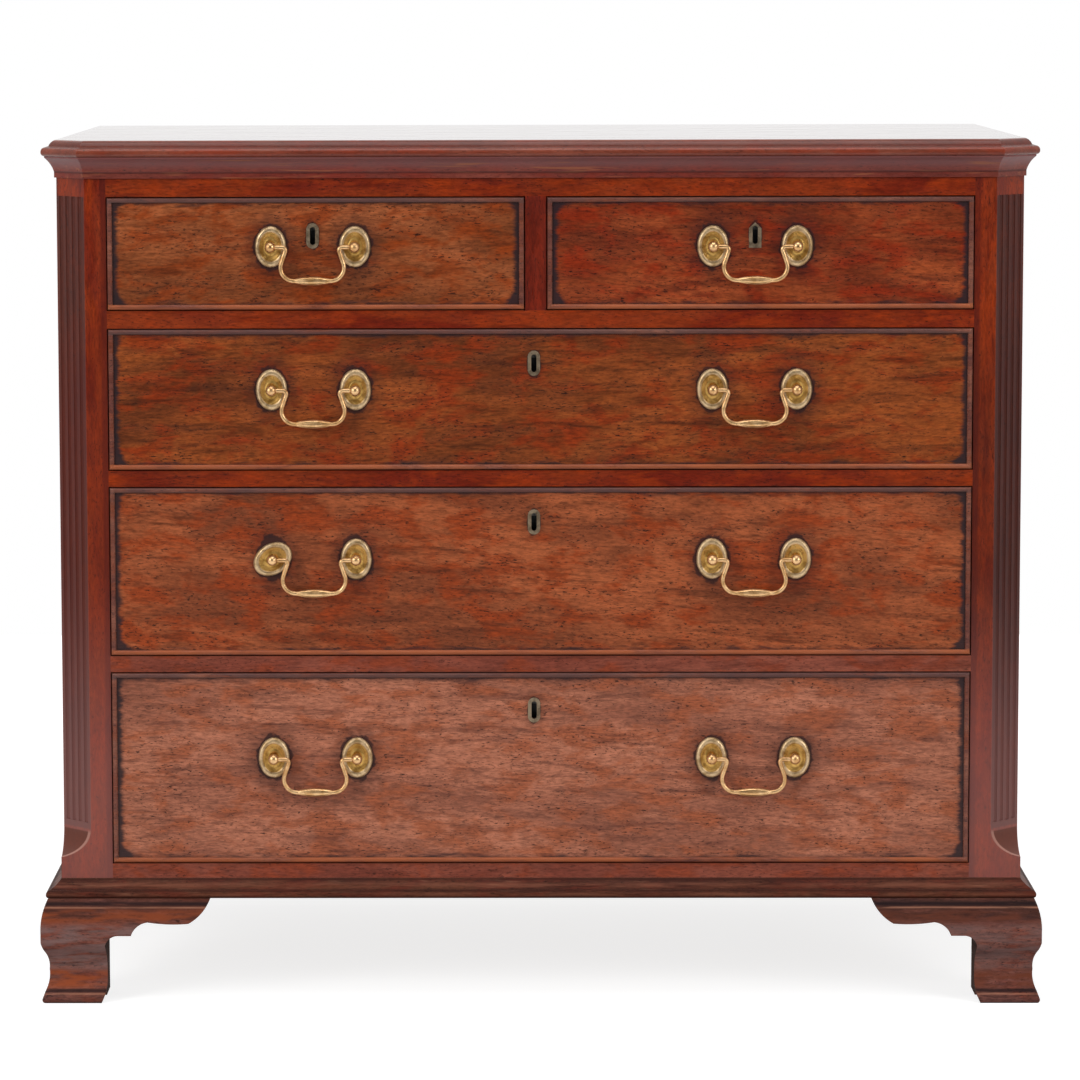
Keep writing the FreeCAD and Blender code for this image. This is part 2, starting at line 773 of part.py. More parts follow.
def rear_foot():
    """An ogee bracket at the side, a plain one across the back, and their block."""
    rear = size.case_depth - size.rear_bracket_thickness
    start = size.case_depth - size.bracket_length
    outer = -half_case - size.foot_swell
    inner = size.foot_inset - half_case
    outline = [(size.case_depth - u, z, *[-bulge for bulge in rest]) for u, z, *rest in BRACKET]
    side = side_bracket("rear_side_bracket", outline, [
        (outer, start), (inner, start), (inner, size.case_depth), (outer, size.case_depth)])
    plain = prism("rear_bracket", "XZ", [
        (inner, size.foot_block_lift),
        (inner + size.leg_sole, size.foot_block_lift),
        (inner + size.rear_bracket_length, size.bracket_rise_height),
        (inner + size.rear_bracket_length, size.foot_height),
        (inner, size.foot_height),
    ], rear, size.rear_bracket_thickness)
    return [side, plain, glue_block("rear_glue_block", rear - size.foot_block)]


def feet():
    left_front = front_foot()
    left_rear = rear_foot()
    node("left_front_foot", *left_front)
    node("right_front_foot", *[mirrored(f"right_{piece.Name}", piece) for piece in left_front])
    node("rear_feet", *left_rear, *[mirrored(f"right_{piece.Name}", piece) for piece in left_rear])


# ---------------------------------------------------------------- drawers
def keyhole(drawer):
    return obround(drawer.key_x, drawer.key_z, size.key_width, size.key_height)


def obround(x, z, width, height):
    """A slot with round ends, standing upright."""
    straight = (height - width) / 2
    return [
        (x - width / 2, z - straight),
        (x + width / 2, z - straight, 1),
        (x + width / 2, z + straight),
        (x - width / 2, z + straight, 1),
    ]


def escutcheon_outline(drawer):
    """An oval rim, or one with a square foot and a pointed head."""
    x, z, width, height = drawer.key_x, drawer.key_z, size.escutcheon_width, size.escutcheon_height
    if not drawer.pointed:
        return obround(x, z, width, height)
    shoulder = z + height / 2 - size.escutcheon_point
    return [
        (x - width / 2, z - height / 2),
        (x + width / 2, z - height / 2),
        (x + width / 2, shoulder),
        (x, z + height / 2),
        (x - width / 2, shoulder),
    ]


def drawer_bottom(drawer):
    """The bottom board, as large as the grooves that take it."""
    foot = drawer.floor + size.slide_clearance + size.bottom_lift
    reach = size.drawer_side - size.bottom_groove
    return box(f"{drawer.name}_bottom",
               (drawer.left + reach, size.front_thickness - size.bottom_groove, foot),
               (drawer.right - reach, back_inner - size.drawer_rear_gap, foot + size.drawer_bottom))


def drawer_front(drawer, bottom):
    """The board, rabbeted for its beads and lapped over the drawer's sides."""
    name, left, right, foot, head = drawer.name, drawer.left, drawer.right, drawer.foot, drawer.head
    bead, rabbet = size.bead_width, size.bead_rabbet
    lap, back, wall = size.front_lap, size.front_thickness, size.drawer_side
    board = prism(f"{name}_board", "XY", [
        (left + bead, 0), (right - bead, 0), (right - bead, rabbet), (right, rabbet),
        (right, lap), (right - wall, lap), (right - wall, back), (left + wall, back),
        (left + wall, lap), (left, lap), (left, rabbet), (left + bead, rabbet),
    ], foot, head - foot)
    half_lock, half_lip = size.lock_width / 2, size.lock_lip_width / 2
    tools = [
        bottom,
        box(f"{name}_head_rabbet", (left, 0, head - bead), (right, rabbet, head)),
        box(f"{name}_foot_rabbet", (left, 0, foot), (right, rabbet, foot + bead)),
        box(f"{name}_lock_recess", (drawer.key_x - half_lock, lap, drawer.key_z - size.lock_below_key),
            (drawer.key_x + half_lock, back, head)),
        box(f"{name}_lip_recess", (drawer.key_x - half_lip, lap, head - size.lock_lip),
            (drawer.key_x + half_lip, back, head)),
        prism(f"{name}_key_slot", "XZ", keyhole(drawer), 0, lap),
        prism(f"{name}_escutcheon_seat", "XZ", escutcheon_outline(drawer), 0, size.escutcheon_depth),
    ]
    for handle, x in drawer.handles.items():
        for end, hand in (("left", -1), ("right", 1)):
            tools.append(drill(f"{name}_{handle}_{end}_hole", size.shank_radius + size.shank_clearance,
                               x + hand * size.post_spacing / 2, drawer.handle_z, 0, back))
    node(f"{name}_front", cut(f"{name}_front", board, *tools))


def cockbead(drawer):
    """Four mitred strips round the front, each with a rounded nose."""
    left, right, foot, head = drawer.left, drawer.right, drawer.foot, drawer.head
    bead, rabbet = size.bead_width, size.bead_rabbet
    nose = bead / 2 - size.bead_proud
    strips = []
    for side, plane, section, start, length, mitres in (
            ("head", "YZ",
             [(rabbet, head), (nose, head), (nose, head - bead, 1), (rabbet, head - bead)],
             left, right - left,
             [(left, head), (right, head), (right - bead, head - bead), (left + bead, head - bead)]),
            ("foot", "YZ",
             [(rabbet, foot), (nose, foot), (nose, foot + bead, -1), (rabbet, foot + bead)],
             left, right - left,
             [(left, foot), (right, foot), (right - bead, foot + bead), (left + bead, foot + bead)]),
            ("left", "XY",
             [(left, rabbet), (left, nose), (left + bead, nose, 1), (left + bead, rabbet)],
             foot, head - foot,
             [(left, foot), (left, head), (left + bead, head - bead), (left + bead, foot + bead)]),
            ("right", "XY",
             [(right, rabbet), (right, nose), (right - bead, nose, -1), (right - bead, rabbet)],
             foot, head - foot,
             [(right, foot), (right, head), (right - bead, head - bead), (right - bead, foot + bead)])):
        name = f"{drawer.name}_{side}_bead"
        mitre = prism(f"{name}_mitre", "XZ", mitres, -size.bead_proud, size.bead_proud + rabbet)
        strips.append(common(name, prism(f"{name}_strip", plane, section, start, length), mitre))
    node(f"{drawer.name}_cockbead", *strips)


def drawer_box(drawer, bottom):
    """Two sides, a back, and the bottom that lies in their grooves."""
    name, wall = drawer.name, size.drawer_side
    foot = drawer.floor + size.slide_clearance
    head = drawer.head - size.drawer_side_drop
    rear = back_inner - size.drawer_rear_gap
    bottom_top = foot + size.bottom_lift + size.drawer_bottom
    solids = [bottom]
    for side, near in (("left", drawer.left), ("right", drawer.right - wall)):
        blank = box(f"{name}_{side}_blank", (near, size.front_lap, foot), (near + wall, rear, head))
        solids.append(cut(f"{name}_{side}_side", blank, bottom))
    solids.append(box(f"{name}_back", (drawer.left + wall, rear - size.drawer_back, bottom_top),
                      (drawer.right - wall, rear, head - size.drawer_back_drop)))
    node(f"{name}_box", *solids)


def lock(drawer):
    """The lock in the front's back, the escutcheon in its face, and the sliding bolt."""
    name, head, key_x, key_z = drawer.name, drawer.head, drawer.key_x, drawer.key_z
    play, lap, back = size.bolt_clearance, size.front_lap, size.front_thickness
    half_lock, half_lip, half_bolt = size.lock_width / 2, size.lock_lip_width / 2, size.bolt_width / 2
    works = lap + size.lock_plate
    blank = fuse(f"{name}_lock_blank",
                 box(f"{name}_lock_case", (key_x - half_lock, lap, key_z - size.lock_below_key),
                     (key_x + half_lock, back, head)),
                 box(f"{name}_lock_lip", (key_x - half_lip, lap, head - size.lock_lip),
                     (key_x + half_lip, back, head)))
    chamber = drill(f"{name}_chamber", size.key_chamber, key_x, key_z, works, bolt_back + play)
    channel = box(f"{name}_channel", (key_x - half_bolt - play, works, key_z),
                  (key_x + half_bolt + play, bolt_back + play, head))
    keyway = prism(f"{name}_keyway", "XZ", keyhole(drawer), lap, size.lock_plate)
    proud = size.escutcheon_proud
    rim = prism(f"{name}_rim", "XZ", escutcheon_outline(drawer), -proud, size.escutcheon_depth + proud)
    rim_hole = prism(f"{name}_rim_hole", "XZ", keyhole(drawer), -proud, size.escutcheon_depth + proud)
    node(f"{name}_lock", cut(f"{name}_lock_body", blank, chamber, channel, keyway),
         cut(f"{name}_escutcheon", rim, rim_hole))
    node(f"{name}_bolt", box(f"{name}_bolt", (key_x - half_bolt, bolt_front, key_z + size.bolt_tail),
                             (key_x + half_bolt, bolt_back, head - play)))


# ---------------------------------------------------------------- swan-neck handles
def post_pattern():
    """Ball-headed post of a handle's right end, bored from its left for the bail's pin."""
    neck_start = -size.post_stand + size.post_neck_length
    ball = place(doc.addObject("Part::Sphere", "post_ball"), 0, -size.post_stand, 0)
    bind(ball, "Radius", size.post_ball)
    blank = fuse("post_blank", ball,
                 drill("post_neck", size.post_neck, 0, 0, -size.post_stand, neck_start),
                 drill("post_root", size.post_root, 0, 0, neck_start, 0),
                 drill("post_shank", size.shank_radius, 0, 0, 0, nut_back + size.shank_tail))
    bore = cylinder("post_bore", size.pin_radius + size.pin_clearance,
                    size.post_ball + size.pin_reach + size.pin_end_gap,
                    -size.post_ball, -size.post_stand, 0, 90, (0, 1, 0))
    return cut("post_pattern", blank, bore)


def rosette_pattern():
    """Pressed oval plate under a post: a rounded rim round a dished field."""
    blank = oval("rosette_blank", size.rosette_width, size.rosette_height, size.rosette_rise, 0)
    dish = oval("rosette_dish", size.dish_width, size.dish_height, size.dish_depth,
                -size.rosette_rise)
    wall = box("rosette_wall", (-size.rosette_width, 0, -size.rosette_height),
               (size.rosette_width, size.rosette_rise, size.rosette_height))
    hole = drill("rosette_hole", size.post_root, 0, 0, -size.post_stand, 0)
    return cut("rosette_pattern", blank, wall, dish, hole)


def oval(name, width, height, reach, y):
    """An ellipsoid that reaches as far to the front as to the back of its middle at y."""
    solid = doc.addObject("Part::Ellipsoid", name)
    bind(solid, "Radius1", height / 2)
    bind(solid, "Radius2", width / 2)
    bind(solid, "Radius3", reach)
    return place(solid, 0, y, 0)


def nut_pattern():
    half = size.nut_size / 2
    blank = box("nut_blank", (-half, size.front_thickness, -half), (half, nut_back, half))
    thread = drill("nut_thread", size.shank_radius, 0, 0, size.front_thickness, nut_back)
    return cut("nut_pattern", blank, thread)


def bail_pattern():
    """Swan-neck drop handle, hanging: two pins, two curved arms and a swollen grip."""
    half = size.post_spacing / 2
    start = half - size.post_ball - size.bail_gap
    neck, hip = size.bail_neck_bend, size.bail_hip_bend
    neck_x, neck_z = size.bail_shoulder + neck, -neck
    hip_x, hip_z = size.bail_reach - hip, hip - size.bail_drop
    # the straight of each arm is the line that touches both bends and crosses between them
    across, down, bends = hip_x - neck_x, hip_z - neck_z, neck + hip
    apart = across * across + down * down
    straight = (apart - bends * bends).root()
    lean_x = (straight * across - bends * down) / apart
    lean_z = (straight * down + bends * across) / apart
    arm_top = (neck_x + neck * lean_z, neck_z - neck * lean_x)
    arm_foot = (hip_x - hip * lean_z, hip_z + hip * lean_x)
    body = doc.addObject("PartDesign::Body", "bail_centre_line")
    path = new_sketch(body, "bail_path", "XZ", size.post_stand)
    draw(path, [
        (start, 0),
        (neck_x, 0),
        (*arm_top, neck_x, neck_z, 1),
        arm_foot,
        (hip_x, -size.bail_drop, hip_x, hip_z, -1),
        (-hip_x, -size.bail_drop),
        (-arm_foot[0], arm_foot[1], -hip_x, hip_z, -1),
        (-arm_top[0], arm_top[1]),
        (-neck_x, 0, -neck_x, neck_z, 1),
        (-start, 0),
    ], closed=False)
    place(body, 0, 0, 0)
    section = doc.addObject("Part::Circle", "bail_section")
    bind(section, "Radius", size.bail_radius)
    place(section, start, -size.post_stand, 0, -90, (0, 1, 0))
    wire = doc.addObject("Part::Sweep", "bail_wire")
    wire.Sections = [section]
    wire.Spine = (path, [])
    wire.Solid = True
    pins = []
    for end, hand in (("left", -1), ("right", 1)):
        pins.append(cylinder(f"{end}_pin", size.pin_radius, half + size.pin_reach - start,
                             hand * start, -size.post_stand, 0, 90 * hand, (0, 1, 0)))
    return fuse("bail_pattern", wire, grip_swelling(), *pins)


def grip_swelling():
    """The swelling in the middle of the grip, turned about the wire's own axis."""
    half, crown = size.grip_length / 2, size.grip_height / 2
    rise = crown - size.grip_end
    radius = (half * half + rise * rise) / (2 * rise)
    body = doc.addObject("PartDesign::Body", "bail_grip")
    sketch = new_sketch(body, "bail_grip_sketch", "XZ", 0)
    draw(sketch, [(-half, 0), (-half, size.grip_end),
                  (half, size.grip_end, Size(0), crown - radius, -1), (half, 0)])
    turned = body.newObject("PartDesign::Revolution", "bail_grip_turned")
    turned.Profile = sketch
    turned.ReferenceAxis = (sketch, ["H_Axis"])
    turned.Angle = 360
    return place(body, 0, -size.post_stand, -size.bail_drop)


def handles(drawer, post, rosette, nut, bail):
    """Each bail of a drawer, and the rosettes, posts and nuts that hold it."""
    mounts = []
    for handle, x in drawer.handles.items():
        label = f"{drawer.name}_{handle}"
        for end, hand in (("left", -1), ("right", 1)):
            post_x = x + hand * size.post_spacing / 2
            mounts.append(repeat(f"{label}_{end}_post", post, post_x, drawer.handle_z, 90 - 90 * hand))
            mounts.append(repeat(f"{label}_{end}_rosette", rosette, post_x, drawer.handle_z))
            mounts.append(repeat(f"{label}_{end}_nut", nut, post_x, drawer.handle_z))
        node(label, repeat(f"{label}_copy", bail, x, drawer.handle_z))
    node(f"{drawer.name}_handle_mounts", *mounts)


# ---------------------------------------------------------------- build and write
top_board()
cornice_moulding()
case_sides()
corner_posts()
rails()
centre_divider()
runners_and_dustboards()
case_bottom()
back_boards()
base_moulding()
feet()
hardware = post_pattern(), rosette_pattern(), nut_pattern(), bail_pattern()
for one_drawer in DRAWERS:
    bottom_board = drawer_bottom(one_drawer)
    drawer_front(one_drawer, bottom_board)
    cockbead(one_drawer)
    drawer_box(one_drawer, bottom_board)
    lock(one_drawer)
    handles(one_drawer, *hardware)

doc.recompute()
for thing in doc.Objects:
    if "Invalid" in thing.State or "Error" in thing.State:
        raise RuntimeError(f"{thing.Name} failed: {thing.State}")
for piece in nodes:
    if piece.Shape.isNull() or not piece.Shape.isValid():
        raise RuntimeError(f"{piece.Label} has no sound shape")
os.makedirs("parts", exist_ok=True)
for piece in nodes:
    piece.Shape.exportStep(f"parts/{piece.Label}.step")
print(len(nodes), "sub-parts,", sum(len(piece.Shape.Solids) for piece in nodes), "solids")
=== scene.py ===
import math

import bmesh
import bpy
from mathutils import Matrix, Vector


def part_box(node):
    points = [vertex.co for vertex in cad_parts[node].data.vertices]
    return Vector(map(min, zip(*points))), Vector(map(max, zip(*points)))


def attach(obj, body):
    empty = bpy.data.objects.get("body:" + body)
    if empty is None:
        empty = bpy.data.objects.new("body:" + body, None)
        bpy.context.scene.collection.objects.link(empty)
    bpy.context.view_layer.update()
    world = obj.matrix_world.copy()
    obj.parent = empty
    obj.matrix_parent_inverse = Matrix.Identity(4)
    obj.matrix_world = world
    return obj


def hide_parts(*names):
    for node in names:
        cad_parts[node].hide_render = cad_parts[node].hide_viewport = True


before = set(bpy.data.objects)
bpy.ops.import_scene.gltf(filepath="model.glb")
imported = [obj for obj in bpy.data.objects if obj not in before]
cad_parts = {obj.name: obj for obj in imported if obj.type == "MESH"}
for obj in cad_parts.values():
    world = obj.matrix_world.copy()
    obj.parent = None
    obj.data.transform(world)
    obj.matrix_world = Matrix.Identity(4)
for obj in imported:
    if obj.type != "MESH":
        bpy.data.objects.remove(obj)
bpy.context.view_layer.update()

# ---------------------------------------------------------------- camera and room
# The chest stands free on white studio paper and is seen almost square on, with a long lens,
# from a little above the height of its top and from a little left of its middle.
camera_place = (-0.0342, -4.8, 1.06)
camera_pitch = 0.1045                    # radians below level
camera_yaw = 0.0097
camera_roll = 0.0025
camera_shift = (0.07, -0.08)
focal_length = 145.1                     # mm on a 36 mm sensor
paper_size = 4.8
paper_white = "#a4a4a4"                  # its own grey; the rest of its white is its glow
paper_glow = 0.79                        # close to the chest, where the shadow is to show
shadow_reach = (0.6, 1.7)                # where that glow starts to rise, and where it is full
room_front = 0.16                        # what a polish mirrors of the room in front,
room_back = 0.9                          # of the room behind,
room_light = 0.45                        # and how strongly the room lights the chest

camera = bpy.data.objects.new("camera", bpy.data.cameras.new("camera"))
bpy.context.scene.collection.objects.link(camera)
camera.location = camera_place
camera.rotation_euler = (math.pi / 2 - camera_pitch, camera_roll, camera_yaw)
camera.data.lens = focal_length
camera.data.shift_x, camera.data.shift_y = camera_shift
bpy.context.scene.camera = camera
bpy.context.scene.view_settings.view_transform = "Standard"


def linear(hex_colour):
    """An sRGB hex colour as linear red, green, blue and alpha."""
    parts = [int(hex_colour[place:place + 2], 16) / 255 for place in (1, 3, 5)]
    return [c / 12.92 if c <= 0.04045 else ((c + 0.055) / 1.055) ** 2.4 for c in parts] + [1]


def add(tree, kind, inputs=None, **settings):
    """One node with its settings; each input is given a value or another node's socket."""
    made = tree.nodes.new("ShaderNode" + kind)
    for setting, value in settings.items():
        setattr(made, setting, value)
    for socket, value in (inputs or {}).items():
        if isinstance(value, bpy.types.NodeSocket):
            tree.links.new(value, made.inputs[socket])
        else:
            made.inputs[socket].default_value = value
    return made


def new_material(name):
    """An empty material and its node tree, with an output to link to."""
    material = bpy.data.materials.new(name)
    material.use_nodes = True
    material.node_tree.nodes.clear()
    return material, material.node_tree


def seen_directly(tree):
    """1 for what the camera, a gloss or a glass sees, and 0 for what only lights."""
    path = add(tree, "LightPath")
    seen = add(tree, "Math", {0: path.outputs["Is Camera Ray"], 1: path.outputs["Is Glossy Ray"]},
               operation="ADD").outputs[0]
    return add(tree, "Math", {0: seen, 1: path.outputs["Is Transmission Ray"]},
               operation="ADD", use_clamp=True).outputs[0]


# matt coated paper: the chest's own soft shadow shows on it, and it fades into the white room
paper, tree = new_material("white_studio_paper")
away = add(tree, "VectorMath", {0: add(tree, "TexCoord").outputs["Object"]}, operation="LENGTH")
rising = add(tree, "MapRange", {"Value": away.outputs["Value"], "From Min": shadow_reach[0],
                                "From Max": shadow_reach[1], "To Min": paper_glow, "To Max": 1.0},
             interpolation_type="SMOOTHSTEP")
glow = add(tree, "Math", {0: seen_directly(tree), 1: rising.outputs[0]}, operation="MULTIPLY")
paper_light = add(tree, "Emission", {"Color": (1, 1, 1, 1), "Strength": glow.outputs[0]})
paper_face = add(tree, "BsdfPrincipled", {"Base Color": linear(paper_white), "Roughness": 0.9,
                                          "Specular IOR Level": 0.1})
paper_sum = add(tree, "AddShader", {0: paper_face.outputs[0], 1: paper_light.outputs[0]})
add(tree, "OutputMaterial", {"Surface": paper_sum.outputs[0]})

bpy.ops.mesh.primitive_plane_add(size=paper_size)
floor = bpy.context.object
floor.name = "studio_floor"
floor.data.materials.append(paper)

# white room behind the chest; what its polish mirrors of the room in front is dimmer
world = bpy.data.worlds.new("studio")
bpy.context.scene.world = world
world.use_nodes = True
tree = world.node_tree
tree.nodes.clear()
towards = add(tree, "SeparateXYZ", {0: add(tree, "TexCoord").outputs["Generated"]})
room = add(tree, "MapRange", {"Value": towards.outputs["Y"], "From Min": -0.45, "From Max": 0.1,
                              "To Min": room_front, "To Max": room_back}, interpolation_type="SMOOTHSTEP")
in_view = add(tree, "Math", {0: room.outputs[0], 1: add(tree, "LightPath").outputs["Is Camera Ray"]},
              operation="MAXIMUM")
strength = add(tree, "Mix", {0: seen_directly(tree), 2: room_light, 3: in_view.outputs[0]},
               data_type="FLOAT")
walls = add(tree, "Background", {"Color": (1, 1, 1, 1), "Strength": strength.outputs[0]})
add(tree, "OutputWorld", {"Surface": walls.outputs[0]})

# a soft box on each side in front, well off the line of sight, and one overhead
chest_middle = Vector((0, 0, 0.45))
for name, place, side, watts in (("left_softbox", (-3.1, -2.7, 2.1), 1.6, 82),
                                 ("right_softbox", (3.1, -2.6, 1.9), 1.6, 62),
                                 ("top_softbox", (0.0, -0.9, 3.4), 2.2, 44)):
    lamp = bpy.data.objects.new(name, bpy.data.lights.new(name, "AREA"))
    bpy.context.scene.collection.objects.link(lamp)
    lamp.data.shape = "SQUARE"
    lamp.data.size = side
    lamp.data.energy = watts
    lamp.location = place
    lamp.rotation_euler = (chest_middle - lamp.location).to_track_quat("-Z", "Y").to_euler()


# ---------------------------------------------------------------- carcass: sides, posts, rails
# The show wood of the carcass is solid mahogany, planed, stained and waxed.  Sides and posts
# stand with their grain upright; rails run across and are tenoned into the posts.
MM = 0.001
GRAIN_TURNS = {"X": (0, 0, 0), "Y": (0, 0, math.pi / 2), "Z": (0, math.pi / 2, 0)}
ARRIS_RADIUS = 0.9 * MM
case_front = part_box("top_rail")[0].y
stile_inner = 453.5 * MM                 # from the middle of the chest
cant_inner = 476 * MM
cant_outer = 508 * MM
scoop_head = 182 * MM                    # where the flat of the cant runs out, above the floor
flutes_head = 853.3 * MM
smoked_from, smoked_to = 330 * MM, 700 * MM        # the darkest part of the posts
floor_sheen_head, floor_sheen_full = 480 * MM, 200 * MM        # where the painted reflection of the floor starts, and is strongest


def figure(tree, along, width, length, low, high, strength=1.0, detail=3.0, shift=0.0):
    """Patches so many mm wide, and so long with the grain: 0 outside them and strength inside."""
    stretched = add(tree, "Mapping", {"Vector": along, "Location": (shift, shift, shift),
                                      "Scale": (1 / (length * MM), 1 / (width * MM), 1 / (width * MM))})
    cloud = add(tree, "TexNoise", {"Vector": stretched.outputs[0], "Scale": 1.0, "Detail": detail,
                                   "Roughness": 0.6, "Distortion": 0.4})
    return add(tree, "MapRange", {"Value": cloud.outputs["Fac"], "From Min": low, "From Max": high,
                                  "To Max": strength}, interpolation_type="SMOOTHSTEP").outputs[0]


def between(tree, value, start, end, soft, strength=1.0):
    """strength where a distance lies between two others, and 0 outside them, with soft ends."""
    rise = add(tree, "MapRange", {"Value": value, "From Min": start - soft, "From Max": start + soft,
                                  "To Max": strength}, interpolation_type="SMOOTHSTEP")
    fall = add(tree, "MapRange", {"Value": value, "From Min": end + soft, "From Max": end - soft},
               interpolation_type="SMOOTHSTEP")
    return add(tree, "Math", {0: rise.outputs[0], 1: fall.outputs[0]}, operation="MULTIPLY").outputs[0]


def figured_wood(name, grain, tones, seed, slope=0.0, dirt_and_painted_light=(), gloss=0.30, streaky=1.0,
                 polish=0.0, arris=None, shine=0.22, straight=1.0):
    """Wood with its grain along one axis.  tones are pale, middle, red, dark and pore; each of the
    layers is a function that returns a mask, the colour that it lays over the wood and, where it is
    dry, its roughness: some are dirt, wax and wear, others painted shade, highlights and reflections.
    Where an arris colour is given, arrises are rounded and painted paler, as rubbed wear with a
    painted highlight.
    straight draws the figure out along the grain."""
    pale, middle, red, dark, pore = tones
    material, tree = new_material(name)
    place = add(tree, "TexCoord").outputs["Object"]
    turn = GRAIN_TURNS[grain]
    along = add(tree, "Mapping", {"Vector": place, "Location": (seed * 0.37, seed * 0.11, seed * 0.23),
                                  "Rotation": (turn[0], turn[1] + slope, turn[2])}).outputs[0]
    # real pores are 0.3 mm wide and are drawn as wide as they show; they crowd together in spots
    spots = figure(tree, along, 16, 60, 0.42, 0.60, shift=5.1)
    crowding = add(tree, "Math", {0: spots, 1: 0.7, 2: 0.35}, operation="MULTIPLY_ADD").outputs[0]
    pores = figure(tree, along, 1.4, 5, 0.55, 0.70, strength=0.8 * streaky, detail=2.0, shift=7.7)
    pores = add(tree, "Math", {0: pores, 1: crowding}, operation="MULTIPLY").outputs[0]
    tint = linear(pale)
    fine = 1 / math.sqrt(straight)
    for mask, colour in (
            # broad clouds, a red mottle, broad and fine streaks, pores, and pin knots
            (figure(tree, along, 55 * fine, 190 * straight, 0.36, 0.64, detail=2.0), middle),
            (figure(tree, along, 21 * fine, 46 * straight, 0.44, 0.64, strength=0.85, detail=4.0,
                    shift=3.3), red),
            (figure(tree, along, 9 * fine, 75 * straight, 0.48, 0.74, strength=0.6 * streaky,
                    detail=4.0, shift=9.1), dark),
            (figure(tree, along, 2.8, 22, 0.50, 0.76, strength=0.5 * streaky, shift=12.4), dark),
            (pores, pore),
            (figure(tree, along, 3.2, 5, 0.72, 0.80, strength=0.8, detail=1.0, shift=15.9), pore)):
        tint = add(tree, "Mix", {0: mask, 6: tint, 7: linear(colour)}, data_type="RGBA").outputs[2]
    fibre = figure(tree, along, 2.0, 8, 0.25, 0.75, detail=4.0, shift=18.2)
    light = add(tree, "MapRange", {"Value": fibre, "To Min": 1 - 0.26 * streaky,
                                   "To Max": 1 + 0.26 * streaky}).outputs[0]
    tint = add(tree, "VectorMath", {0: tint, "Scale": light}, operation="SCALE").outputs[0]
    rough = add(tree, "MapRange", {"Value": spots, "To Min": gloss - 0.03,
                                   "To Max": gloss + 0.07}).outputs[0]
    for dirt_or_painted_light, colour, *dry in dirt_and_painted_light:
        mask = dirt_or_painted_light(tree, place, along)
        tint = add(tree, "Mix", {0: mask, 6: tint, 7: linear(colour)}, data_type="RGBA").outputs[2]
        rough = add(tree, "Mix", {0: mask, 2: rough, 3: dry[0] if dry else gloss + 0.08},
                    data_type="FLOAT").outputs[0]
    height = add(tree, "Math", {0: fibre, 1: pores}, operation="SUBTRACT").outputs[0]
    bump = add(tree, "Bump", {"Height": height, "Strength": 0.18, "Distance": 0.12 * MM})
    # arrises are painted paler: rubbed wear, with a painted highlight along them
    if arris:
        rounded = add(tree, "Bevel", {"Radius": ARRIS_RADIUS}, samples=2).outputs[0]
        square = add(tree, "NewGeometry").outputs["True Normal"]
        turned = add(tree, "VectorMath", {0: rounded, 1: square}, operation="DOT_PRODUCT").outputs["Value"]
        rubbed_and_highlit = add(tree, "MapRange", {"Value": turned, "From Min": 0.97, "From Max": 0.80,
                                        "To Max": 0.55}, interpolation_type="SMOOTHSTEP").outputs[0]
        tint = add(tree, "Mix", {0: rubbed_and_highlit, 6: tint, 7: linear(arris)}, data_type="RGBA").outputs[2]
        tree.links.new(rounded, bump.inputs["Normal"])
    if callable(polish):
        polish = polish(tree, place)
    surface = add(tree, "BsdfPrincipled", {"Base Color": tint, "Roughness": rough, "IOR": 1.5,
                                           "Specular IOR Level": shine, "Coat Weight": polish,
                                           "Coat Roughness": 0.04, "Normal": bump.outputs[0]})
    add(tree, "OutputMaterial", {"Surface": surface.outputs[0]})
    return material


def dress(material, slot, *names):
    """Give CAD nodes their finish; their shapes stay as they are."""
    for name in names:
        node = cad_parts[name]
        for index in range(len(node.material_slots)):
            node.material_slots[index].material = material


def on_cant(tree, place):
    """A mask of the canted and scooped faces of the posts, and the height above the floor."""
    where = add(tree, "SeparateXYZ", {0: place})
    out = add(tree, "Math", {0: where.outputs["X"]}, operation="ABSOLUTE").outputs[0]
    across = between(tree, out, cant_inner, cant_outer - 0.6 * MM, 0.3 * MM)
    sunk = add(tree, "MapRange", {"Value": where.outputs["Y"], "From Min": case_front + 0.2 * MM,
                                  "From Max": case_front + 0.8 * MM}).outputs[0]
    return add(tree, "Math", {0: across, 1: sunk}, operation="MULTIPLY").outputs[0], where.outputs["Z"]


def cant_painted_shade(tree, place, along):
    """Painted shade, nearly black, over the fluted length of the cant."""
    cant, height = on_cant(tree, place)
    length = between(tree, height, scoop_head + 1.5 * MM, flutes_head, 0.8 * MM, 0.76)
    return add(tree, "Math", {0: cant, 1: length}, operation="MULTIPLY").outputs[0]


def scoop_stain(tree, place, along):
    """Paler brown in the scoop at the foot of the cant."""
    cant, height = on_cant(tree, place)
    length = between(tree, height, 0, scoop_head - 1.5 * MM, 0.8 * MM, 0.8)
    return add(tree, "Math", {0: cant, 1: length}, operation="MULTIPLY").outputs[0]


def scoop_arris_wear_and_highlight(tree, place, along):
    """A pale arris where the scoop is cut into the stile: rubbed wear, with a painted highlight."""
    where = add(tree, "SeparateXYZ", {0: place})
    lip = between(tree, where.outputs["Y"], case_front + 0.7 * MM, case_front + 3.6 * MM, 0.5 * MM)
    length = between(tree, where.outputs["Z"], 0, scoop_head - 1 * MM, 2 * MM, 0.8)
    out = add(tree, "Math", {0: where.outputs["X"]}, operation="ABSOLUTE").outputs[0]
    outer = between(tree, out, cant_inner, cant_outer - 0.4 * MM, 0.3 * MM)
    lip = add(tree, "Math", {0: lip, 1: length}, operation="MULTIPLY").outputs[0]
    return add(tree, "Math", {0: lip, 1: outer}, operation="MULTIPLY").outputs[0]


def stile_edge(tree, place, along):
    """Stiles are darker in a strip next to the drawers."""
    out = add(tree, "Math", {0: add(tree, "SeparateXYZ", {0: place}).outputs["X"]}, operation="ABSOLUTE")
    return between(tree, out.outputs[0], 0, stile_inner + 6 * MM, 1.6 * MM, 0.62)


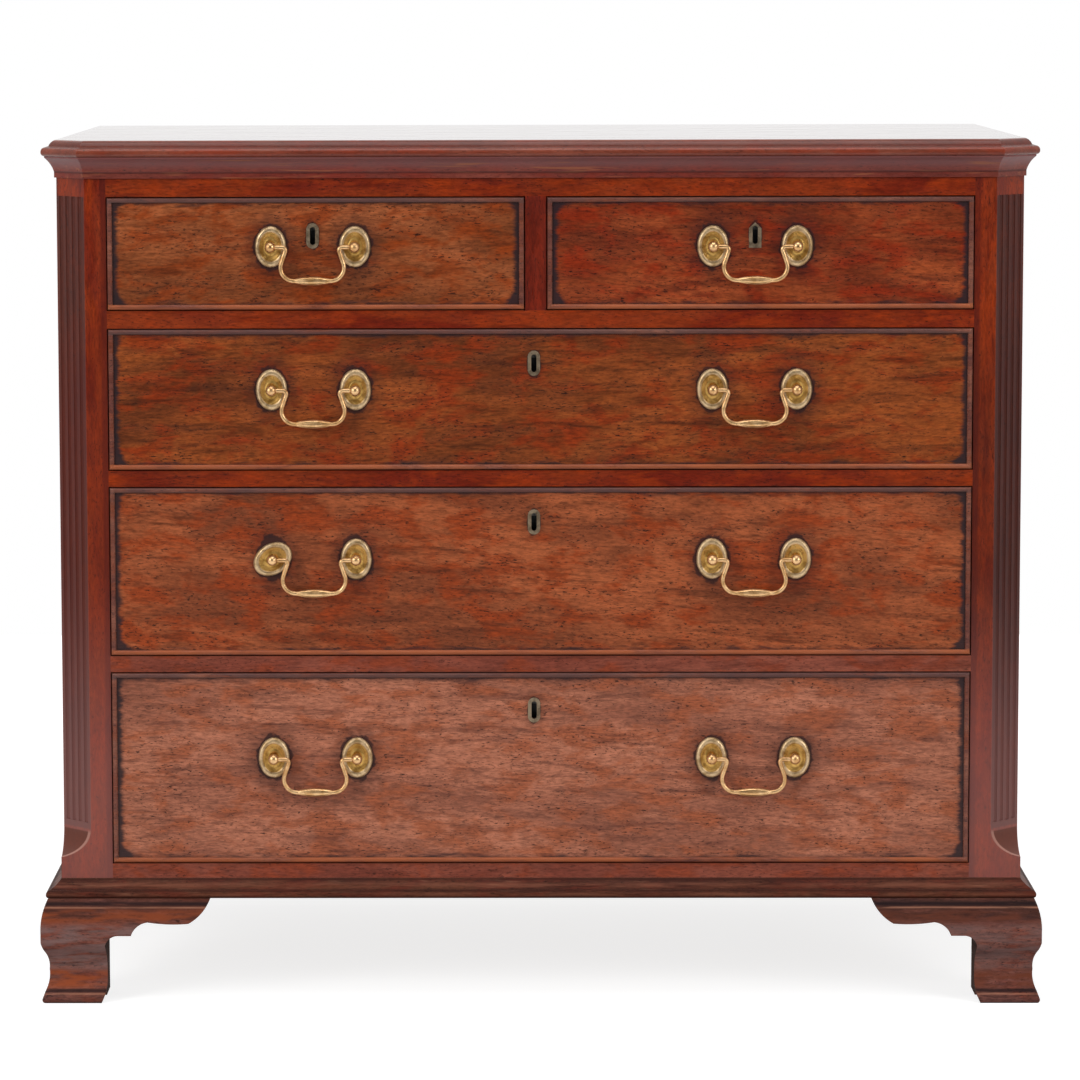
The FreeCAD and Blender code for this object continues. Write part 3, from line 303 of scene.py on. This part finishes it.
def stile_floor_sheen(tree, place, along):
    """A pinkish sheen low down: the floor's reflection, painted in."""
    height = add(tree, "SeparateXYZ", {0: place}).outputs["Z"]
    return add(tree, "MapRange", {"Value": height, "From Min": floor_sheen_head, "From Max": floor_sheen_full,
                                  "To Max": 0.46}, interpolation_type="SMOOTHSTEP").outputs[0]


def smoked_middle(tree, place, along):
    """Posts are darkest half way up, beside the middle drawers."""
    height = add(tree, "SeparateXYZ", {0: place}).outputs["Z"]
    return between(tree, height, smoked_from, smoked_to, 60 * MM, 0.36)


def post_flank(tree, place, along):
    """The flank of a post was stained and waxed together with the side of the case."""
    out = add(tree, "Math", {0: add(tree, "SeparateXYZ", {0: place}).outputs["X"]}, operation="ABSOLUTE")
    return add(tree, "MapRange", {"Value": out.outputs[0], "From Min": cant_outer - 0.5 * MM,
                                  "From Max": cant_outer - 0.1 * MM, "To Max": 0.85}).outputs[0]


# waxed mahogany: reddish brown, with soft darker streaks, short dark pores and a low gloss.  The
# posts and upper rails have kept their red; the lower rails are painted paler and pinker, as the
# floor's reflection.
RED_MAHOGANY = ("#82300f", "#6c1c08", "#8c2f08", "#4c1006", "#280804")
FLOOR_SHEEN_MAHOGANY = ("#8a4a39", "#783a2b", "#86391f", "#55261b", "#2a100b")
SIDE_MAHOGANY = ("#7c3a22", "#672c18", "#7a2c14", "#481c10", "#24100a")
DIVIDER_MAHOGANY = ("#74240f", "#60190b", "#7a220d", "#451008", "#260906")
# the second colour of each post is the painted shade of its cant, darker on the right post
for number, (side, cant_shade, smoke) in enumerate((("left", "#3c211d", "#5c1809"),
                                             ("right", "#2f1a17", "#300904"))):
    dress(figured_wood(f"waxed_mahogany_{side}_side", "Z", SIDE_MAHOGANY, 3 + number, gloss=0.34,
                       arris="#a87a63"),
          "case_mahogany", f"{side}_side")
    dress(figured_wood(f"waxed_mahogany_{side}_post", "Z", RED_MAHOGANY, 5 + number,
                       dirt_and_painted_light=((stile_edge, "#480c06"), (cant_painted_shade, cant_shade), (smoked_middle, smoke),
                              # the pinkish colour low down is the floor's painted reflection
                              (stile_floor_sheen, "#8c5d58"), (scoop_stain, "#51230f"),
                              (scoop_arris_wear_and_highlight, "#a8786a"), (post_flank, "#642c1a"))),
          "post_mahogany", f"{side}_corner_post")
for number, (rail, tones) in enumerate((("top_rail", RED_MAHOGANY), ("short_drawer_rail", RED_MAHOGANY),
                                        ("upper_long_rail", RED_MAHOGANY),
                                        ("lower_long_rail", FLOOR_SHEEN_MAHOGANY),
                                        ("bottom_rail", FLOOR_SHEEN_MAHOGANY))):
    dress(figured_wood(f"waxed_mahogany_{rail}", "X", tones, 60 + number, gloss=0.34, shine=0.16),
          "rail_mahogany", rail)
dress(figured_wood("waxed_mahogany_divider", "Z", DIVIDER_MAHOGANY, 8), "rail_mahogany", "centre_divider")


# ---------------------------------------------------------------- moulded top and cornice
# The top is one wide mahogany board, its edge run with an ovolo and a bead, polished to a
# mirror by two centuries of dusting.  A cavetto moulding is glued and pinned up under it.
top_face = 912 * MM                      # heights above the floor
ovolo_foot = 903.8 * MM
sheen_foot, sheen_full = 880 * MM, 890 * MM
cavetto_foot, cavetto_shade_top = 877.4 * MM, 879.6 * MM
TOP_MAHOGANY = ("#7d3f2e", "#6c3122", "#7c301d", "#4a1d12", "#241010")
# the cornice's tones are painted paler, to stand in for light bounced up into its hollow
CORNICE_MAHOGANY_PAINTED_PALER = ("#7c3c30", "#6a2e26", "#782c20", "#4c1d17", "#29110e")


def top_polish(tree, place):
    """The flat of the top shines like a mirror; its moulded edge is only waxed."""
    height = add(tree, "SeparateXYZ", {0: place}).outputs["Z"]
    return add(tree, "MapRange", {"Value": height, "From Min": top_face - 1 * MM,
                                  "From Max": top_face - 0.2 * MM, "To Min": 0.12}).outputs[0]


def ovolo_painted_shade(tree, place, along):
    """Painted shade down the ovolo and in the quirk over the bead."""
    height = add(tree, "SeparateXYZ", {0: place}).outputs["Z"]
    return between(tree, height, ovolo_foot, top_face - 1.2 * MM, 0.6 * MM, 0.5)


# polished mahogany: its flat mirrors the white room, its ovolo is darkened with painted shade, and its
# arrises are a little paler, as rubbed wear with a painted highlight
dress(figured_wood("polished_mahogany_top", "X", TOP_MAHOGANY, 9, dirt_and_painted_light=((ovolo_painted_shade, "#3a1512"),),
                   gloss=0.24, streaky=0.7, polish=top_polish, arris="#7a4a3c"),
      "top_mahogany", "top_board")


def cornice_painted_sheen(tree, place, along):
    """A painted grey reflection on the upper half of the hollow."""
    height = add(tree, "SeparateXYZ", {0: place}).outputs["Z"]
    return add(tree, "MapRange", {"Value": height, "From Min": sheen_foot, "From Max": sheen_full,
                                  "To Max": 0.5}, interpolation_type="SMOOTHSTEP").outputs[0]


def cornice_rub(tree, place, along):
    """Patches rubbed through to paler wood."""
    return figure(tree, along, 5, 90, 0.60, 0.70, strength=0.5, detail=2.0, shift=31.0)


def cornice_foot_shade(tree, place, along):
    """A dark line of painted shade along the foot of the hollow."""
    height = add(tree, "SeparateXYZ", {0: place}).outputs["Z"]
    return between(tree, height, cavetto_foot, cavetto_shade_top, 0.8 * MM, 0.62)


# waxed mahogany: a painted grey reflection and painted paler tones in the hollow, with a painted line of
# shade along its foot
dress(figured_wood("waxed_mahogany_cornice", "X", CORNICE_MAHOGANY_PAINTED_PALER, 10,
                   dirt_and_painted_light=((cornice_painted_sheen, "#7f595a"), (cornice_rub, "#9a5c3b"), (cornice_foot_shade, "#331010")),
                   streaky=0.6),
      "moulding_mahogany", "cornice_moulding")


# ---------------------------------------------------------------- base moulding and ogee bracket feet
# The base moulding is planted round the bottom of the case.  The feet are sawn from thick
# mahogany, mitred at the corners and glued to blocks; they are knocked, dark and dry.
BASE_MAHOGANY = ("#573020", "#472319", "#562418", "#30150e", "#170a07")
FOOT_MAHOGANY = ("#7d4d40", "#66403b", "#743a2b", "#3c2422", "#1a0f0e")


def base_rub(tree, place, along):
    """Knocks and broom marks, paler and greyer than the wax round them."""
    return figure(tree, along, 3.5, 40, 0.58, 0.72, strength=0.5, detail=4.0, shift=33.0)


def bands(*spans):
    """A layer of dirt and painted light in level bands; each has its foot, head and softness in mm, and a
    strength.
    """

    def dirt_or_painted_light(tree, place, along):
        height = add(tree, "SeparateXYZ", {0: place}).outputs["Z"]
        mask = 0.0
        for foot, head, soft, strength in spans:
            band = between(tree, height, foot * MM, head * MM, soft * MM, strength)
            mask = add(tree, "Math", {0: mask, 1: band}, operation="MAXIMUM").outputs[0]
        return mask

    return dirt_or_painted_light


def inward_faces_dark(tree, place, along):
    """The inward faces of the feet, their sawn edges and backs, are painted dark."""
    out = add(tree, "SeparateXYZ", {0: place}).outputs["X"]
    facing = add(tree, "SeparateXYZ", {0: add(tree, "NewGeometry").outputs["Normal"]}).outputs["X"]
    inward = add(tree, "Math", {0: add(tree, "Math", {0: out}, operation="SIGN").outputs[0], 1: facing},
                 operation="MULTIPLY").outputs[0]
    return add(tree, "MapRange", {"Value": inward, "From Min": -0.4, "From Max": -0.8,
                                  "To Max": 0.9}).outputs[0]


def patchy(dirt_or_painted_light, width, length, low, high, seed):
    """A layer of dirt and painted light that is broken up along the grain."""

    def broken(tree, place, along):
        spots = figure(tree, along, width, length, low, high, detail=4.0, shift=seed)
        return add(tree, "Math", {0: dirt_or_painted_light(tree, place, along), 1: spots},
                   operation="MULTIPLY").outputs[0]

    return broken


# painted shade where the base moulding meets the case, in its quirk and along its foot
base_painted_shade = patchy(bands((129, 140, 0.8, 0.55), (119, 121.4, 0.8, 0.6), (100, 114, 0.8, 0.5)),
                  4, 150, 0.2, 0.5, 38.0)
# painted highlights on its slope and on its lower band
base_painted_highlights = patchy(bands((122.8, 126.5, 1.4, 0.5), (115.2, 118, 0.9, 0.4)), 6, 70, 0.35, 0.6, 36.0)
# painted shade under the head of a foot, over its pad, on the pad and round its sole
foot_painted_shade = patchy(bands((104.8, 108.4, 1.4, 0.86), (11.4, 15.2, 1.2, 0.86), (2, 9, 1, 0.3),
                        (-1, 1.2, 0.6, 0.8)),
                  4, 60, 0.22, 0.46, 38.0)
# painted highlights along the arrises of head and pad
foot_painted_highlights = patchy(bands((102.0, 103.6, 0.7, 0.6), (9.2, 11, 0.8, 0.55)), 3, 50, 0.3, 0.6, 41.0)
# paler, warm wood on the shoulder and the ankle, greyer on the belly, and painted shade on the head
foot_glow = patchy(bands((86, 100, 6, 0.7), (16, 36, 5, 0.95)), 9, 45, 0.34, 0.60, 35.0)
foot_smoke = patchy(bands((36, 84, 7, 0.7)), 7, 50, 0.32, 0.64, 37.0)
foot_head_shade = patchy(bands((88, 114, 8, 0.85)), 5, 60, 0.10, 0.55, 43.0)

# worn mahogany: painted shade in the quirks, pale knocked arrises with a painted highlight, and hardly any
# gloss
dress(figured_wood("worn_mahogany_base", "X", BASE_MAHOGANY, 11,
                   dirt_and_painted_light=((base_rub, "#75503d"), (base_painted_highlights, "#7f4f3c"), (base_painted_shade, "#2e150f")),
                   gloss=0.46, arris="#8a5f4c", shine=0.08),
      "moulding_mahogany", "base_moulding")
# the last colour of each foot is the painted shade on its head, deepest on the right foot
for number, (foot, glow, smoke, head) in enumerate((
        ("left_front_foot", "#8e4526", "#7a6360", "#44241b"),
        ("right_front_foot", "#693726", "#6e5653", "#2c1a16"),
        ("rear_feet", "#74402a", "#6a5250", "#40261f"))):
    dress(figured_wood(f"worn_mahogany_{foot}", "X", FOOT_MAHOGANY, 12 + 70 * number,
                       dirt_and_painted_light=((foot_head_shade, head), (foot_glow, glow), (foot_smoke, smoke),
                              (foot_painted_highlights, "#a8745c"), (foot_painted_shade, "#1d1214"),
                              (inward_faces_dark, "#2a1a15", 0.95)),
                       gloss=0.42, streaky=1.4, arris="#94644f", shine=0.10),
          "foot_mahogany", foot)


# ---------------------------------------------------------------- drawer fronts and cockbeads
# Each front is faced with paler, faded mahogany.  Cockbeads of the same wood stand proud all
# round it; black wax has built up in the corner between bead and face.
lock_line = -6.5 * MM                    # locks and handles stand this far off the middle
handle_spread = 231 * MM
post_half_spacing = 44 * MM
rose_half = Vector((16.5 * MM, 0, 21.75 * MM))     # half the width and height of a rosette
key_half = Vector((6.5 * MM, 0, 13.3 * MM))        # and of an escutcheon
bead_width = 5.2 * MM
wax_corner = 17 * MM                     # the clean wood's rounded corners start this far from a bead
wax_reach = Vector((13.2 * MM, 0, 17.6 * MM))      # half axes of those corners
BEAD_MAHOGANY = ("#82503f", "#66382e", "#763b26", "#44282a", "#1f1112")


def edge_wax(front):
    """Black wax, thin along the top and bottom beads, wide at the ends and in the corners."""
    low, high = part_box(front)
    middle = (low + high) / 2
    clean = (high - low) / 2 - Vector((bead_width + wax_corner, 0, bead_width + wax_corner))

    def dirt_or_painted_light(tree, place, along):
        off = add(tree, "VectorMath", {0: place, 1: middle}, operation="SUBTRACT").outputs[0]
        off = add(tree, "VectorMath", {0: off}, operation="ABSOLUTE").outputs[0]
        off = add(tree, "VectorMath", {0: off, 1: (clean.x, 0, clean.z)}, operation="SUBTRACT").outputs[0]
        off = add(tree, "VectorMath", {0: off, 1: (0, 0, 0)}, operation="MAXIMUM").outputs[0]
        off = add(tree, "VectorMath", {0: off, 1: (1 / wax_reach.x, 0, 1 / wax_reach.z)},
                  operation="MULTIPLY").outputs[0]
        reach = add(tree, "VectorMath", {0: off}, operation="LENGTH").outputs["Value"]
        corner = add(tree, "SeparateXYZ", {0: off})
        corner = add(tree, "Math", {0: corner.outputs["X"], 1: corner.outputs["Z"]},
                     operation="MULTIPLY").outputs[0]
        height = add(tree, "SeparateXYZ", {0: place}).outputs["Z"]
        lower = add(tree, "MapRange", {"Value": height, "From Min": middle.z, "From Max": low.z,
                                       "To Min": -0.1, "To Max": 0.42}).outputs[0]
        reach = add(tree, "Math", {0: corner, 1: lower, 2: reach}, operation="MULTIPLY_ADD").outputs[0]
        smear = figure(tree, along, 6, 26, 0.25, 0.75, strength=0.38, detail=5.0, shift=21.0)
        reach = add(tree, "Math", {0: reach, 1: smear}, operation="ADD").outputs[0]
        return add(tree, "MapRange", {"Value": reach, "From Min": 0.88, "From Max": 1.34, "To Max": 0.92},
                   interpolation_type="SMOOTHSTEP").outputs[0]

    return dirt_or_painted_light


def bead_painted_light(front, upper, strength):
    """The top bead is painted dark and grey, as shade and reflection; the bottom one is painted bright, as
    a highlight.
    """
    low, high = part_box(front)
    edge = high.z - bead_width * 1.1 if upper else low.z + bead_width * 1.1

    def dirt_or_painted_light(tree, place, along):
        height = add(tree, "SeparateXYZ", {0: place}).outputs["Z"]
        band = between(tree, height, edge if upper else 0, 1.0 if upper else edge, 0.5 * MM, strength)
        worn = figure(tree, along, 12, 70, 0.25, 0.60, shift=39.0 + upper)
        return add(tree, "Math", {0: band, 1: worn}, operation="MULTIPLY").outputs[0]

    return dirt_or_painted_light


def oval_wax(x, z, half, spread, post_gap, ring, halo):
    """Wax round fittings: an outline close to each, and a fainter bloom further out."""

    def dirt_or_painted_light(tree, place, along):
        where = add(tree, "SeparateXYZ", {0: place})
        across = add(tree, "Math", {0: where.outputs["X"], 1: x}, operation="SUBTRACT").outputs[0]
        for gap in (spread, post_gap):
            if gap:
                across = add(tree, "Math", {0: across}, operation="ABSOLUTE").outputs[0]
                across = add(tree, "Math", {0: across, 1: gap}, operation="SUBTRACT").outputs[0]
        up = add(tree, "Math", {0: where.outputs["Z"], 1: z}, operation="SUBTRACT").outputs[0]
        oval = add(tree, "CombineXYZ", {
            0: add(tree, "Math", {0: across, 1: half.x}, operation="DIVIDE").outputs[0],
            1: add(tree, "Math", {0: up, 1: half.z}, operation="DIVIDE").outputs[0]})
        oval = add(tree, "VectorMath", {0: oval.outputs[0]}, operation="LENGTH").outputs["Value"]
        smear = figure(tree, along, 9, 12, 0.2, 0.8, strength=0.3, shift=23.0)
        oval = add(tree, "Math", {0: oval, 1: smear}, operation="SUBTRACT").outputs[0]
        line = add(tree, "MapRange", {"Value": oval, "From Min": 1.12, "From Max": 0.90, "To Max": ring},
                   interpolation_type="SMOOTHSTEP").outputs[0]
        bloom = add(tree, "MapRange", {"Value": oval, "From Min": 2.0, "From Max": 0.8, "To Max": halo},
                    interpolation_type="SMOOTHSTEP").outputs[0]
        return add(tree, "Math", {0: line, 1: bloom}, operation="MAXIMUM").outputs[0]

    return dirt_or_painted_light


fronts = {
    # drawer: line of its lock, heights of handles and keyhole, spread of its handles, slope of the
    # grain, and the tones of its wood
    "left_short_drawer": (lock_line - handle_spread, 0.8010, 0.8123, 0, 0.02,
                          ("#98532e", "#743c1e", "#84350d", "#52240f", "#2c1208")),
    "right_short_drawer": (lock_line + handle_spread, 0.8010, 0.8123, 0, -0.03,
                           ("#934421", "#6c2c14", "#822509", "#4a190a", "#260d06")),
    "upper_long_drawer": (lock_line, 0.6510, 0.6785, handle_spread, 0.02,
                          ("#8d461d", "#683216", "#842d0b", "#431e0c", "#220e07")),
    "middle_long_drawer": (lock_line, 0.4722, 0.5112, handle_spread, -0.05,
                           ("#9f5431", "#783d23", "#8c3713", "#512614", "#2a130b")),
    # its tones are painted paler and pinker, in part the floor's reflection
    "lower_long_drawer": (lock_line, 0.2605, 0.3112, handle_spread, -0.02,
                          ("#ab6b52", "#8c5440", "#975032", "#603529", "#331c16")),
}
# faded mahogany: tan where the sun took the red out, with open dark pores and a worn, low gloss;
# waxed mahogany beads: brown, painted dark and grey above as shade and reflection, and painted
# bright below as a highlight
for number, (drawer, (line, handles_z, key_z, spread, slope, tones)) in enumerate(fronts.items()):
    dirt_and_painted_light = ((edge_wax(f"{drawer}_front"), "#211b20"),
             (oval_wax(line, handles_z, rose_half, spread, post_half_spacing, ring=0.92, halo=0.44),
              "#2a1818"),
             (oval_wax(line, key_z, key_half, 0, 0, ring=0.85, halo=0.3), "#2a1512"))
    dress(figured_wood(f"faded_mahogany_{drawer}", "X", tones, 20 + number, slope, dirt_and_painted_light, gloss=0.33,
                       streaky=1.25, shine=0.17),
          "drawer_front_mahogany", f"{drawer}_front")
    dress(figured_wood(f"waxed_mahogany_{drawer}_bead", "X", BEAD_MAHOGANY, 30 + number,
                       # the top bead is painted with shade and reflection, the bottom bead with a
                       # highlight
                       dirt_and_painted_light=((bead_painted_light(f"{drawer}_front", upper=True, strength=0.75), "#503937"),
                              (bead_painted_light(f"{drawer}_front", upper=False, strength=0.8), "#a05530")),
                       gloss=0.28, arris="#a87e6c"),
          "bead_mahogany", f"{drawer}_cockbead")


# ---------------------------------------------------------------- oak linings and pine back
# Drawer sides, backs and bottoms, runners and dustboards are quartered oak, left bare, dry
# and rubbed; the back of the case is wide pine boards, nailed into rabbets.
board_edges = [112 + 195.75 * board for board in range(5)]         # mm above the floor
OAK = ("#b58e63", "#a27a52", "#9a6c46", "#7c5638", "#4c3522")
PINE = ("#ad8557", "#977048", "#8d6039", "#70502f", "#453120")

# bare oak: straw brown, straight in the grain and quite dull
lining = figured_wood("bare_oak_lining", "Y", OAK, 40, gloss=0.6, streaky=0.7, straight=5.0)
for drawer in fronts:
    dress(lining, "lining_oak", f"{drawer}_box")
dress(lining, "lining_oak", "dustboards", "drawer_runners", "case_bottom")
# bare pine: browned by age, two of its four boards plainer than the others, with dark joints
plainer_boards = bands((*board_edges[0:2], 0.3, 0.30), (*board_edges[2:4], 0.3, 0.45))
joints = bands(*((edge - 0.9, edge + 0.9, 0.5, 0.85) for edge in board_edges[1:4]))
dress(figured_wood("bare_pine_back", "X", PINE, 41,
                   dirt_and_painted_light=((plainer_boards, "#8a6a48", 0.7), (joints, "#241810", 0.8)),
                   gloss=0.65, streaky=0.6, straight=6.0),
      "back_pine", "back_boards")


# ---------------------------------------------------------------- brass handles
# Cast brass, filed and once lacquered.  A swan-neck bail swings in the ball heads of two
# posts, whose shanks pass through oval rosettes and the drawer front to square nuts.
POST_PROFILE = (
    # radius, and distance in front of the drawer: a ball on a waisted neck, then the shank
    (0, 17.6), (2.3, 17.1), (4.0, 15.9), (5.2, 14.2), (5.6, 12.0), (5.2, 9.9), (4.0, 8.2), (2.9, 7.4),
    (2.9, 6.6), (3.9, 6.1), (4.2, 5.6), (3.9, 5.1), (3.0, 4.5), (3.2, 3.4), (4.2, 2.2), (4.4, 1.6),
    (4.4, 0.2), (2.4, 0.2), (2.4, -24), (0, -24))
ROSETTE_PROFILE = (
    # radius level with the middle, and rise from the drawer: a dish inside a rolled rim
    (3.2, 0), (3.2, 1.5), (6.4, 1.5), (6.8, 1.2), (8.4, 1.4), (10.0, 2.0), (10.7, 2.3), (11.1, 2.1),
    (11.6, 2.7), (12.3, 3.2), (13.1, 3.4), (14.0, 3.3), (14.9, 2.8), (15.7, 2.0), (16.2, 1.1), (16.5, 0.3),
    (16.5, 0))
ROSETTE_DISH = 11.4 * MM                 # where the rim begins
SPIN_STEPS = 56
JOINED = 0.005 * MM                      # points closer than this are one
NUT_SIZE = (10 * MM, 3 * MM, 10 * MM)
NUT_PLACE = Vector((0, 21.5 * MM, 0))    # middle of the nut, behind the face of the drawer
NUT_BEVEL = 0.4 * MM
BAIL_STAND = 12 * MM                     # the bail's axis in front of the drawer
GRIP_DROP = 35.2 * MM
GRIP_HALF = 20 * MM                      # the swelling's half length, and its radius
GRIP_CROWN = 4.7 * MM                    # in the middle
GRIP_END = 1.8 * MM                      # and at its ends
ALMOND_REACH = 0.82                      # of the swelling's length
ALMOND_WRAP = math.radians(38)           # to each side round the grip
ALMOND_RISE = 0.3 * MM                   # off the grip
ALMOND_WALL = 0.5 * MM
turned_rosette = ("middle_long_drawer", -1, -1)    # one has worked round on its post
worked_angle = math.radians(58)


def aged_brass(name, bright, dull, dirt, gloss, dirt_or_painted_light=None):
    """Rubbed bright where hands touch it, dull and dirty elsewhere."""
    material, tree = new_material(name)
    place = add(tree, "TexCoord").outputs["Object"]
    tint = linear(bright)
    for mask, colour in ((figure(tree, place, 9, 9, 0.40, 0.66), dull),
                         (figure(tree, place, 2.6, 2.6, 0.56, 0.78, strength=0.5, detail=2.0,
                                 shift=4.0), dirt)):
        tint = add(tree, "Mix", {0: mask, 6: tint, 7: linear(colour)}, data_type="RGBA").outputs[2]
    rough = figure(tree, place, 6, 6, 0.3, 0.7, strength=0.16, shift=8.0)
    rough = add(tree, "Math", {0: rough, 1: gloss}, operation="ADD").outputs[0]
    metal = 1.0
    if dirt_or_painted_light:
        mask = dirt_or_painted_light(tree, place)
        tint = add(tree, "Mix", {0: mask, 6: tint, 7: linear("#0a0706")}, data_type="RGBA").outputs[2]
        metal = add(tree, "Math", {0: 1.0, 1: mask}, operation="SUBTRACT").outputs[0]
    scratches = figure(tree, place, 1.2, 2.4, 0.2, 0.8, shift=11.0)
    bump = add(tree, "Bump", {"Height": scratches, "Strength": 0.2, "Distance": 0.1 * MM})
    surface = add(tree, "BsdfPrincipled", {"Base Color": tint, "Metallic": metal, "Roughness": rough,
                                           "Normal": bump.outputs[0]})
    add(tree, "OutputMaterial", {"Surface": surface.outputs[0]})
    return material


# aged brass: cream gold where it is handled, brown in the hollows, grey on the rims
handled_brass = aged_brass("handled_brass", "#dfb786", "#c29563", "#70492c", 0.31)
rim_brass = aged_brass("tarnished_brass_rim", "#cbb08a", "#a3865f", "#604a34", 0.40)
dish_brass = aged_brass("dull_brass_dish", "#c9a05a", "#9b7438", "#54391a", 0.38)
groove_brass = aged_brass("soiled_brass_groove", "#7a5c34", "#5c4426", "#2c1e10", 0.45)


def turned_piece(mesh, profile, middle, tall=1.0, turn=0.0):
    """Spin a profile about an axis that stands out from the drawer; tall makes it an oval."""
    points = [mesh.verts.new((radius * MM, -rise * MM, 0)) for radius, rise in profile]
    strip = [mesh.edges.new(pair) for pair in zip(points, points[1:])]
    if profile[0][0] > 0:
        strip.append(mesh.edges.new((points[-1], points[0])))
    bmesh.ops.spin(mesh, geom=points + strip, cent=(0, 0, 0), axis=(0, 1, 0), dvec=(0, 0, 0),
                   angle=2 * math.pi, steps=SPIN_STEPS, use_merge=True)
    ring = list({point for face in mesh.faces if not face.tag for point in face.verts})
    shape = Matrix.Rotation(turn, 4, "Y") @ Matrix.Diagonal((1, 1, tall, 1))
    bmesh.ops.transform(mesh, matrix=Matrix.Translation(middle) @ shape, verts=ring)
    for face in mesh.faces:
        face.tag = True


def finished(mesh, name, body, materials, smooth=True):
    """Close a shape, turn its faces outwards and let it ride on its body."""
    bmesh.ops.remove_doubles(mesh, verts=mesh.verts, dist=JOINED)
    bmesh.ops.recalc_face_normals(mesh, faces=mesh.faces)
    for face in mesh.faces:
        face.smooth = smooth
    data = bpy.data.meshes.new(name)
    mesh.to_mesh(data)
    mesh.free()
    piece = bpy.data.objects.new(name, data)
    bpy.context.scene.collection.objects.link(piece)
    for material in materials:
        data.materials.append(material)
    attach(piece, body)
    return piece


def grip_almond(name, body, middle):
    """The raised almond on the front of a grip, with a dirty groove round it."""
    mesh = bmesh.new()
    bmesh.ops.create_grid(mesh, x_segments=28, y_segments=8, size=1.0)
    rise = GRIP_CROWN - GRIP_END
    bend = (GRIP_HALF ** 2 + rise ** 2) / (2 * rise)
    for point in mesh.verts:
        along, aside = ALMOND_REACH * GRIP_HALF * point.co.x, point.co.y
        radius = math.sqrt(bend ** 2 - along ** 2) - bend + GRIP_CROWN + ALMOND_RISE
        angle = ALMOND_WRAP * aside * math.sqrt(max(0.0, 1 - point.co.x ** 2))
        point.co = (along, -radius * math.cos(angle), radius * math.sin(angle))
    bmesh.ops.remove_doubles(mesh, verts=mesh.verts, dist=JOINED)
    for face in mesh.faces:
        face.material_index = int(any(edge.is_boundary for edge in face.edges))
    bmesh.ops.solidify(mesh, geom=mesh.faces, thickness=ALMOND_WALL)
    bmesh.ops.translate(mesh, verts=mesh.verts, vec=middle)
    finished(mesh, name, body, (handled_brass, groove_brass))


for drawer, (line, handles_z, _, spread, *_) in fronts.items():
    bails = {"left_bail": -1, "right_bail": 1} if spread else {"bail": 0}
    posts, plates, nuts = bmesh.new(), bmesh.new(), bmesh.new()
    for bail, hand in bails.items():
        x = line + hand * spread
        for end in (-1, 1):
            middle = Vector((x + end * post_half_spacing, case_front, handles_z))
            turned_piece(posts, POST_PROFILE, middle)
            worked_round = worked_angle if (drawer, hand, end) == turned_rosette else 0
            turned_piece(plates, ROSETTE_PROFILE, middle, rose_half.z / rose_half.x, worked_round)
            for face in plates.faces:
                off = face.calc_center_median() - middle
                off.rotate(Matrix.Rotation(-worked_round, 3, "Y"))
                oval = math.hypot(off.x, off.z * rose_half.x / rose_half.z)
                if oval < rose_half.x * 1.01:
                    face.material_index = int(oval < ROSETTE_DISH)
            nut = bmesh.ops.create_cube(nuts, size=1.0)["verts"]
            bmesh.ops.scale(nuts, verts=nut, vec=NUT_SIZE)
            bmesh.ops.translate(nuts, verts=nut, vec=middle + NUT_PLACE)
        dress(handled_brass, "handle_brass", f"{drawer}_{bail}")
        grip_almond(f"{drawer}_{bail}_lens", f"{drawer}_{bail}",
                    (x, case_front - BAIL_STAND, handles_z - GRIP_DROP))
    bmesh.ops.bevel(nuts, geom=nuts.edges, offset=NUT_BEVEL, segments=2, affect="EDGES", profile=0.5,
                    material=-1)
    for piece in (finished(posts, f"{drawer}_posts", drawer, (handled_brass,)),
                  finished(plates, f"{drawer}_rosettes", drawer, (rim_brass, dish_brass)),
                  finished(nuts, f"{drawer}_nuts", drawer, (groove_brass,), smooth=False)):
        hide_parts(f"{drawer}_handle_mounts")


# ---------------------------------------------------------------- locks, escutcheons and bolts
# A brass till lock is let into the back of each front, and a cast escutcheon into its face.
# Both have tarnished; the inside of the keyhole is painted black, as shade.  The bolt is filed iron.
keyhole_shade_depth = 19 * MM                   # behind the face of the drawer


def keyhole_painted_shade(tree, place):
    """Painted shade: nothing inside the keyhole shows but blackness."""
    deep = add(tree, "SeparateXYZ", {0: place}).outputs["Y"]
    return between(tree, deep, case_front + 0.3 * MM, case_front + keyhole_shade_depth, 0.3 * MM)


# tarnished brass: dull and greyish brown; filed iron: dark grey with a satin gloss
lock_brass = aged_brass("tarnished_lock_brass", "#93826c", "#6f604e", "#3a3028", 0.42, keyhole_painted_shade)
bolt_iron = aged_brass("filed_iron", "#77736e", "#57534f", "#2c2826", 0.45)
for drawer in fronts:
    dress(lock_brass, "lock_brass", f"{drawer}_lock")
    dress(bolt_iron, "bolt_iron", f"{drawer}_bolt")
